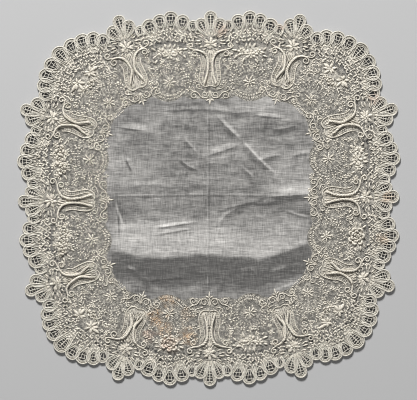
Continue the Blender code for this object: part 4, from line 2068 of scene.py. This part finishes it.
@dataclass
class LeafWreath(Motif):
    """A small flower inside an oval wreath of little stars."""

    half_width: float = 17.0
    half_height: float = 15.5

    def build(self) -> bpy.types.Object:
        """Make the wreath and its flower as one stitched piece.

        Returns:
            The piece.
        """
        self.flower()
        self.stars()
        fringe = [self.around(bearing, 0.88) for bearing in range(56, 305, 12)]
        self.sprig(fringe, 3.3, 2.4, 1.1, (62.0, 96.0))
        arch = [self.around(bearing) for bearing in range(-60, 61, 12)]
        self.sprig(arch, 2.9, 2.7, 1.15, (60.0, 92.0))
        return self.work.build()

    def around(self, bearing: float, share: float = 1.0) -> Point:
        """Find a point of the oval.

        Args:
            bearing: Degrees from straight in.
            share: Share of the oval's size.

        Returns:
            The point (across, inward).
        """
        angle = radians(bearing)
        return self.half_width * share * sin(angle), self.half_height * share * cos(angle)

    def flower(self) -> None:
        """Stitch the flower, of three rings of petals."""
        chance = self.chance
        turn = chance.uniform(0.0, 60.0)
        for count, inner, outer, width, above in (
            (8, 1.6, 6.6, 2.3, 0.0),
            (7, 5.6, 7.8, 1.3, 0.0),
            (5, 0.5, 3.0, 1.9, 0.4),
        ):
            turn += 30.0
            for angle in self.bearings(count, turn, 8.0):
                reach = outer * chance.uniform(0.84, 1.1)
                base = (inner * cos(angle), inner * sin(angle))
                tip = (reach * cos(angle), reach * sin(angle))
                self.work.pad(self.site, base, tip, width * chance.uniform(0.85, 1.1), Stamp.PETAL, above)
        self.knot((0.0, 0.0), 1.4, 0.9)

    def stars(self) -> None:
        """Stitch two rings of stars round the outer part of the oval."""
        chance = self.chance
        for index in range(11):
            spot = self.around(68.0 + 22.4 * index, chance.uniform(1.12, 1.26))
            self.star(spot, chance.uniform(2.8, 3.6), 1.6, 4)
        for index in range(6):
            spot = self.around(92.0 + 176.0 * index / 5, 1.56)
            self.star(spot, chance.uniform(2.5, 3.1), 1.4, chance.choice((4, 5)))

    def sprig(self, path: Sequence[Point], pitch: float, length: float, width: float, spread: Point) -> None:
        """Set small leaves on both sides of a path.

        Args:
            path: The stem, as points (across, inward).
            pitch: Distance between pairs.
            length: Length of a leaf.
            width: Width of a leaf.
            spread: Least and greatest angle of a leaf from the path, in degrees.
        """
        chance = self.chance
        line = smooth_path(path, pitch)
        for here, there in zip(line, line[1:]):
            run = (Vector(there) - Vector(here)).normalized()
            for side in SIDES:
                aim = Vector(turned(run.x, run.y, radians(chance.uniform(*spread)) * side))
                start = Vector(here) + run * chance.uniform(0.0, 0.7) + aim * 0.35
                end = start + aim * length * chance.uniform(0.8, 1.2)
                self.work.pad(self.site, tuple(start), tuple(end), width * chance.uniform(0.85, 1.15))


@dataclass
class LeafGarland:
    """Dense criss-cross petals that follow the edge inside the scallops."""

    plan: ClothPlan
    bay_rows: tuple[tuple[Point, ...], tuple[Point, ...]] = (
        ((20.0, 170.4), (30.0, 173.4), (42.0, 176.0), (53.0, 174.0), (63.0, 169.4), (73.0, 164.8)),
        ((16.0, 160.6), (28.0, 163.5), (42.0, 165.8), (54.5, 163.9), (65.0, 159.4), (74.5, 154.9)),
    )
    corner_rows: tuple[tuple[Point, ...], tuple[Point, ...]] = (
        ((107.0, 157.8), (120.0, 158.3), (131.0, 156.8), (140.5, 152.4), (148.2, 148.2)),
        ((108.0, 144.2), (118.3, 144.9), (126.8, 143.4), (133.8, 140.1), (138.0, 138.0)),
    )
    pitch: float = 3.2
    curl_gap: float = 5.2
    curls: list[Vector] = field(init=False)

    def __post_init__(self) -> None:
        """Find the curls of the scrolls that the petals keep clear of."""
        across, inward = ARM_CURL
        scrolls = self.plan.motif_sites(SCROLL_PLACES)
        self.curls = [Vector(site.at(side * across, inward)) for site in scrolls for side in SIDES]

    def build(self) -> bpy.types.Object:
        """Make every garland as one stitched piece.

        Returns:
            The piece.
        """
        work = Needlework("leaf_garlands", self.plan)
        chance = Random(SEED)
        for (outer, inner), rows in ((self.bay_rows, 4), (self.corner_rows, 5)):
            for row in range(rows):
                share = row / (rows - 1)
                spots = [Vector(far).lerp(Vector(near), share) for far, near in zip(outer, inner)]
                for site in self.plan.eighths():
                    self.stitch(work, site, [(spot.x, -spot.y) for spot in spots], row, chance)
        return work.build()

    def stitch(self, work: Needlework, site: Site, path: Sequence[Point], row: int, chance: Random) -> None:
        """Work one row of petals, each crossing the way of the one before.

        Args:
            work: The stitching that it joins.
            site: Where the row lies.
            path: The row's line (across, inward).
            row: Its number, which sets the way of its first petal.
            chance: Source of unevenness.
        """
        for index, spot in enumerate(smooth_path(path, self.pitch)):
            angle = radians(chance.uniform(30.0, 72.0)) * (1.0 if (index + row) % 2 else -1.0)
            middle = Vector(spot) + Vector((chance.uniform(-0.8, 0.8), chance.uniform(-1.0, 1.0)))
            half = Vector((cos(angle), sin(angle))) * chance.uniform(1.5, 2.1)
            here = Vector(site.at(*middle))
            if all((here - place).length >= self.curl_gap for place in self.curls):
                base, tip = tuple(middle - half), tuple(middle + half)
                work.pad(site, base, tip, chance.uniform(1.8, 2.4), Stamp.PETAL)


@dataclass
class FieldSprigs(Motif):
    """Little stars and tendrils scattered over the net between the motifs."""

    pitch: float = 6.2
    half_side: float = 190.0
    linen_side: float = 103.0
    wreath_reach: float = 25.0
    star_share: float = 0.72
    stray: float = 0.3
    spray_oval: Point = (23.0, 12.5)
    scrolls: list[Site] = field(init=False)
    sprays: list[Site] = field(init=False)
    wreaths: list[Vector] = field(init=False)

    def __post_init__(self) -> None:
        """Start the stitching and find the motifs that it keeps clear of."""
        super().__post_init__()
        plan = self.site.plan
        self.scrolls = plan.motif_sites(SCROLL_PLACES)
        self.sprays = plan.motif_sites(SPRAY_PLACES)
        self.wreaths = [Vector(site.at(0.0, 0.0)) for site in plan.motif_sites(WREATH_PLACES)]

    def build(self) -> bpy.types.Object:
        """Make them as one stitched piece.

        Returns:
            The piece.
        """
        steps = int(self.half_side / self.pitch)
        for row in range(-steps, steps + 1):
            for column in range(-steps, steps + 1):
                x = (column + 0.5 * (row % 2) + self.chance.uniform(-self.stray, self.stray)) * self.pitch
                y = (row + self.chance.uniform(-self.stray, self.stray)) * self.pitch
                spot = Vector((x, y))
                if self.is_bare(spot):
                    self.scatter(spot)
        return self.work.build()

    def is_bare(self, spot: Vector) -> bool:
        """Tell whether a point is net that no motif, garland or linen covers.

        Args:
            spot: The point on the cloth.

        Returns:
            Whether a sprig can lie there.
        """
        if max(abs(spot.x), abs(spot.y)) < self.linen_side or self.outside(spot):
            return False
        if any((spot - place).length < self.wreath_reach for place in self.wreaths):
            return False
        if any(self.on_spray(*site.read(spot)) for site in self.sprays):
            return False
        return not any(self.on_scroll(*site.read(spot)) for site in self.scrolls)

    def outside(self, spot: Vector) -> bool:
        """Tell whether a point lies beyond the sheer strip inside the garlands.

        Args:
            spot: The point on the cloth.

        Returns:
            Whether it is further out than the strip, which reaches further at the corners.
        """
        bearing = atan2(spot.y, spot.x) % (pi / 2)
        turn = min(bearing, pi / 2 - bearing)
        return spot.length > 160.0 + 30.0 * ease(turn, 0.25, 0.75)

    def on_spray(self, across: float, inward: float) -> bool:
        """Tell whether a point of a spray's own plan lies on its stitching."""
        return hypot(across / self.spray_oval[0], inward / self.spray_oval[1]) < 1.0

    def on_scroll(self, across: float, inward: float) -> bool:
        """Tell whether a point of a scroll's own plan lies on its stitching."""
        flank = 13.0 if 46.0 < inward < 79.0 else 23.0
        return abs(across) < flank and 0.0 < inward < 94.0

    def scatter(self, spot: Vector) -> None:
        """Stitch a star or a small tendril.

        Args:
            spot: Where it lies on the cloth.
        """
        centre, chance = (spot.x, -spot.y), self.chance
        if chance.random() < self.star_share:
            self.star(centre, chance.uniform(2.6, 3.2), 1.4, chance.choice((4, 5)))
            return
        ring = curl(centre, chance.uniform(0.0, 360.0), 1.7, 0.5, chance.choice(SIDES) * 330.0)
        self.work.cord(self.site, ring, 0.38, 0.8)


# The scene round it


@dataclass
class Studio:
    """The table, the lights and the camera."""

    centre: Point = (-0.36, -1.66)
    view_width: float = 0.4352
    distance: float = 1.6
    sensor: float = 36.0
    film_spread: float = 1.0

    def table(self) -> bpy.types.Object:
        """Make the table top that the cloth lies on.

        Returns:
            The table top.
        """
        body = bmesh.new()
        bmesh.ops.create_grid(body, x_segments=1, y_segments=1, size=3.0)
        table = finished("table_top", body, smooth=False)
        dress(table, TableFinish().make())
        return table

    def light(self, name: str, place: Point3, size: float, power: float) -> None:
        """Add a soft area light that looks at the cloth.

        Args:
            name: Its name.
            place: Where it stands, in metres.
            size: Its side, in metres.
            power: Its power in watts.
        """
        lamp = bpy.data.lights.new(name, "AREA")
        lamp.shape = "SQUARE"
        lamp.size = size
        lamp.energy = power
        holder = bpy.data.objects.new(name, lamp)
        holder.location = place
        holder.rotation_euler = (-Vector(place)).to_track_quat("-Z", "Y").to_euler()
        bpy.context.scene.collection.objects.link(holder)

    def lights(self) -> None:
        """Light the cloth softly from its top, with a weak fill."""
        self.light("key light", (-0.6, 3.1, 2.0), 0.8, 245.0)
        self.light("fill light", (0.8, -2.4, 3.4), 2.0, 26.0)
        world = bpy.data.worlds.new("soft room")
        world.use_nodes = True
        background = world.node_tree.nodes["Background"]
        background.inputs["Color"].default_value = (1.0, 1.0, 1.0, 1.0)
        background.inputs["Strength"].default_value = 0.10
        bpy.context.scene.world = world
        bpy.context.scene.view_settings.view_transform = "Standard"

    def camera(self) -> None:
        """Look straight down, with the top of the cloth at the top of the view."""
        lens = bpy.data.cameras.new("camera")
        lens.sensor_width = self.sensor
        lens.lens = self.sensor * self.distance / self.view_width
        holder = bpy.data.objects.new("camera", lens)
        holder.location = (self.centre[0] * MM, self.centre[1] * MM, self.distance)
        bpy.context.scene.collection.objects.link(holder)
        bpy.context.scene.camera = holder
        bpy.context.scene.cycles.filter_width = self.film_spread


def attach(piece: bpy.types.Object, material: bpy.types.Material, node: str) -> None:
    """Dress a piece, set it on the frame and report it.

    Args:
        piece: The piece.
        material: Its finish.
        node: The node that it stands for, alone or with others.
    """
    dress(piece, material)
    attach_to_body(piece, "root")
    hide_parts(node)
    triangles = sum(len(face.vertices) - 2 for face in piece.data.polygons)
    log.info("%s: %d triangles", piece.name, triangles)


def build_sheets(plan: ClothPlan) -> list[bpy.types.Object]:
    """Make the linen and the net.

    Args:
        plan: The cloth's layout.

    Returns:
        The two sheets.
    """
    linen = LinenCentre(plan).build()
    attach(linen, LinenFinish().make(), "linen_centre")
    net = NetGround(plan).build()
    attach(net, NetFinish().make(), "lace_border")
    return [linen, net]


def build_edge(plan: ClothPlan, thread: bpy.types.Material) -> list[bpy.types.Object]:
    """Make the scalloped edge, the garlands inside it and the sprigs on the net.

    Args:
        plan: The cloth's layout.
        thread: Finish of the raised stitching.

    Returns:
        The pieces, which all lie on the net.
    """
    edge = ScallopedEdge(plan)
    middle = Site(plan, 0.0, 0.0, 0.0, False, 0)
    dressed = [
        (edge.ground(), EdgeFinish().make()),
        (edge.shade(), WindowShadeFinish().make()),
        (edge.cords(), RimFinish().make()),
        (LeafGarland(plan).build(), thread),
        (FieldSprigs(middle, "field_sprigs", SPRIG_SEED).build(), thread),
    ]
    for piece, material in dressed:
        attach(piece, material, "lace_border")
    return [piece for piece, _ in dressed]


def spray_kinds() -> list[Bouquet]:
    """Give the kind of each spray, in the order of its nodes."""
    side = [Bouquet.LEAFY, Bouquet.LEAFY, Bouquet.LILIES, Bouquet.TRIO, Bouquet.TRIO, Bouquet.LILIES]
    return side + [Bouquet.ROSE, Bouquet.LEAFY, Bouquet.LILIES] * 2


def build_motifs(plan: ClothPlan, thread: bpy.types.Material) -> None:
    """Make the scrolls, sprays and wreaths, one piece for each node.

    Args:
        plan: The cloth's layout.
        thread: Finish of the raised stitching.
    """
    for number, site in enumerate(plan.motif_sites(SCROLL_PLACES), start=1):
        name = f"trumpet_scroll_{number:02d}"
        attach(TrumpetScroll(site, name, name).build(), thread, f"scroll_{number:02d}")
    for number, (site, kind) in enumerate(zip(plan.motif_sites(SPRAY_PLACES), spray_kinds()), start=1):
        spray = FlowerSpray(site, f"flower_spray_{number:02d}", SEED + number, kind)
        attach(spray.build(), thread, f"spray_{number:02d}")
    for number, site in enumerate(plan.motif_sites(WREATH_PLACES), start=1):
        wreath = LeafWreath(site, f"leaf_wreath_{number:02d}", SEED - number)
        attach(wreath.build(), thread, f"flower_{number:02d}")


def main() -> None:
    """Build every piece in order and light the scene."""
    logging.basicConfig(level=logging.INFO, format="%(message)s")
    noise.seed_set(SEED)
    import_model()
    plan = ClothPlan()
    studio = Studio()
    studio.camera()
    studio.lights()
    studio.table()
    thread = ThreadFinish().make()
    linen, net = build_sheets(plan)
    trimmings = build_edge(plan, thread)
    build_motifs(plan, thread)


if __name__ == "__main__":
    main()
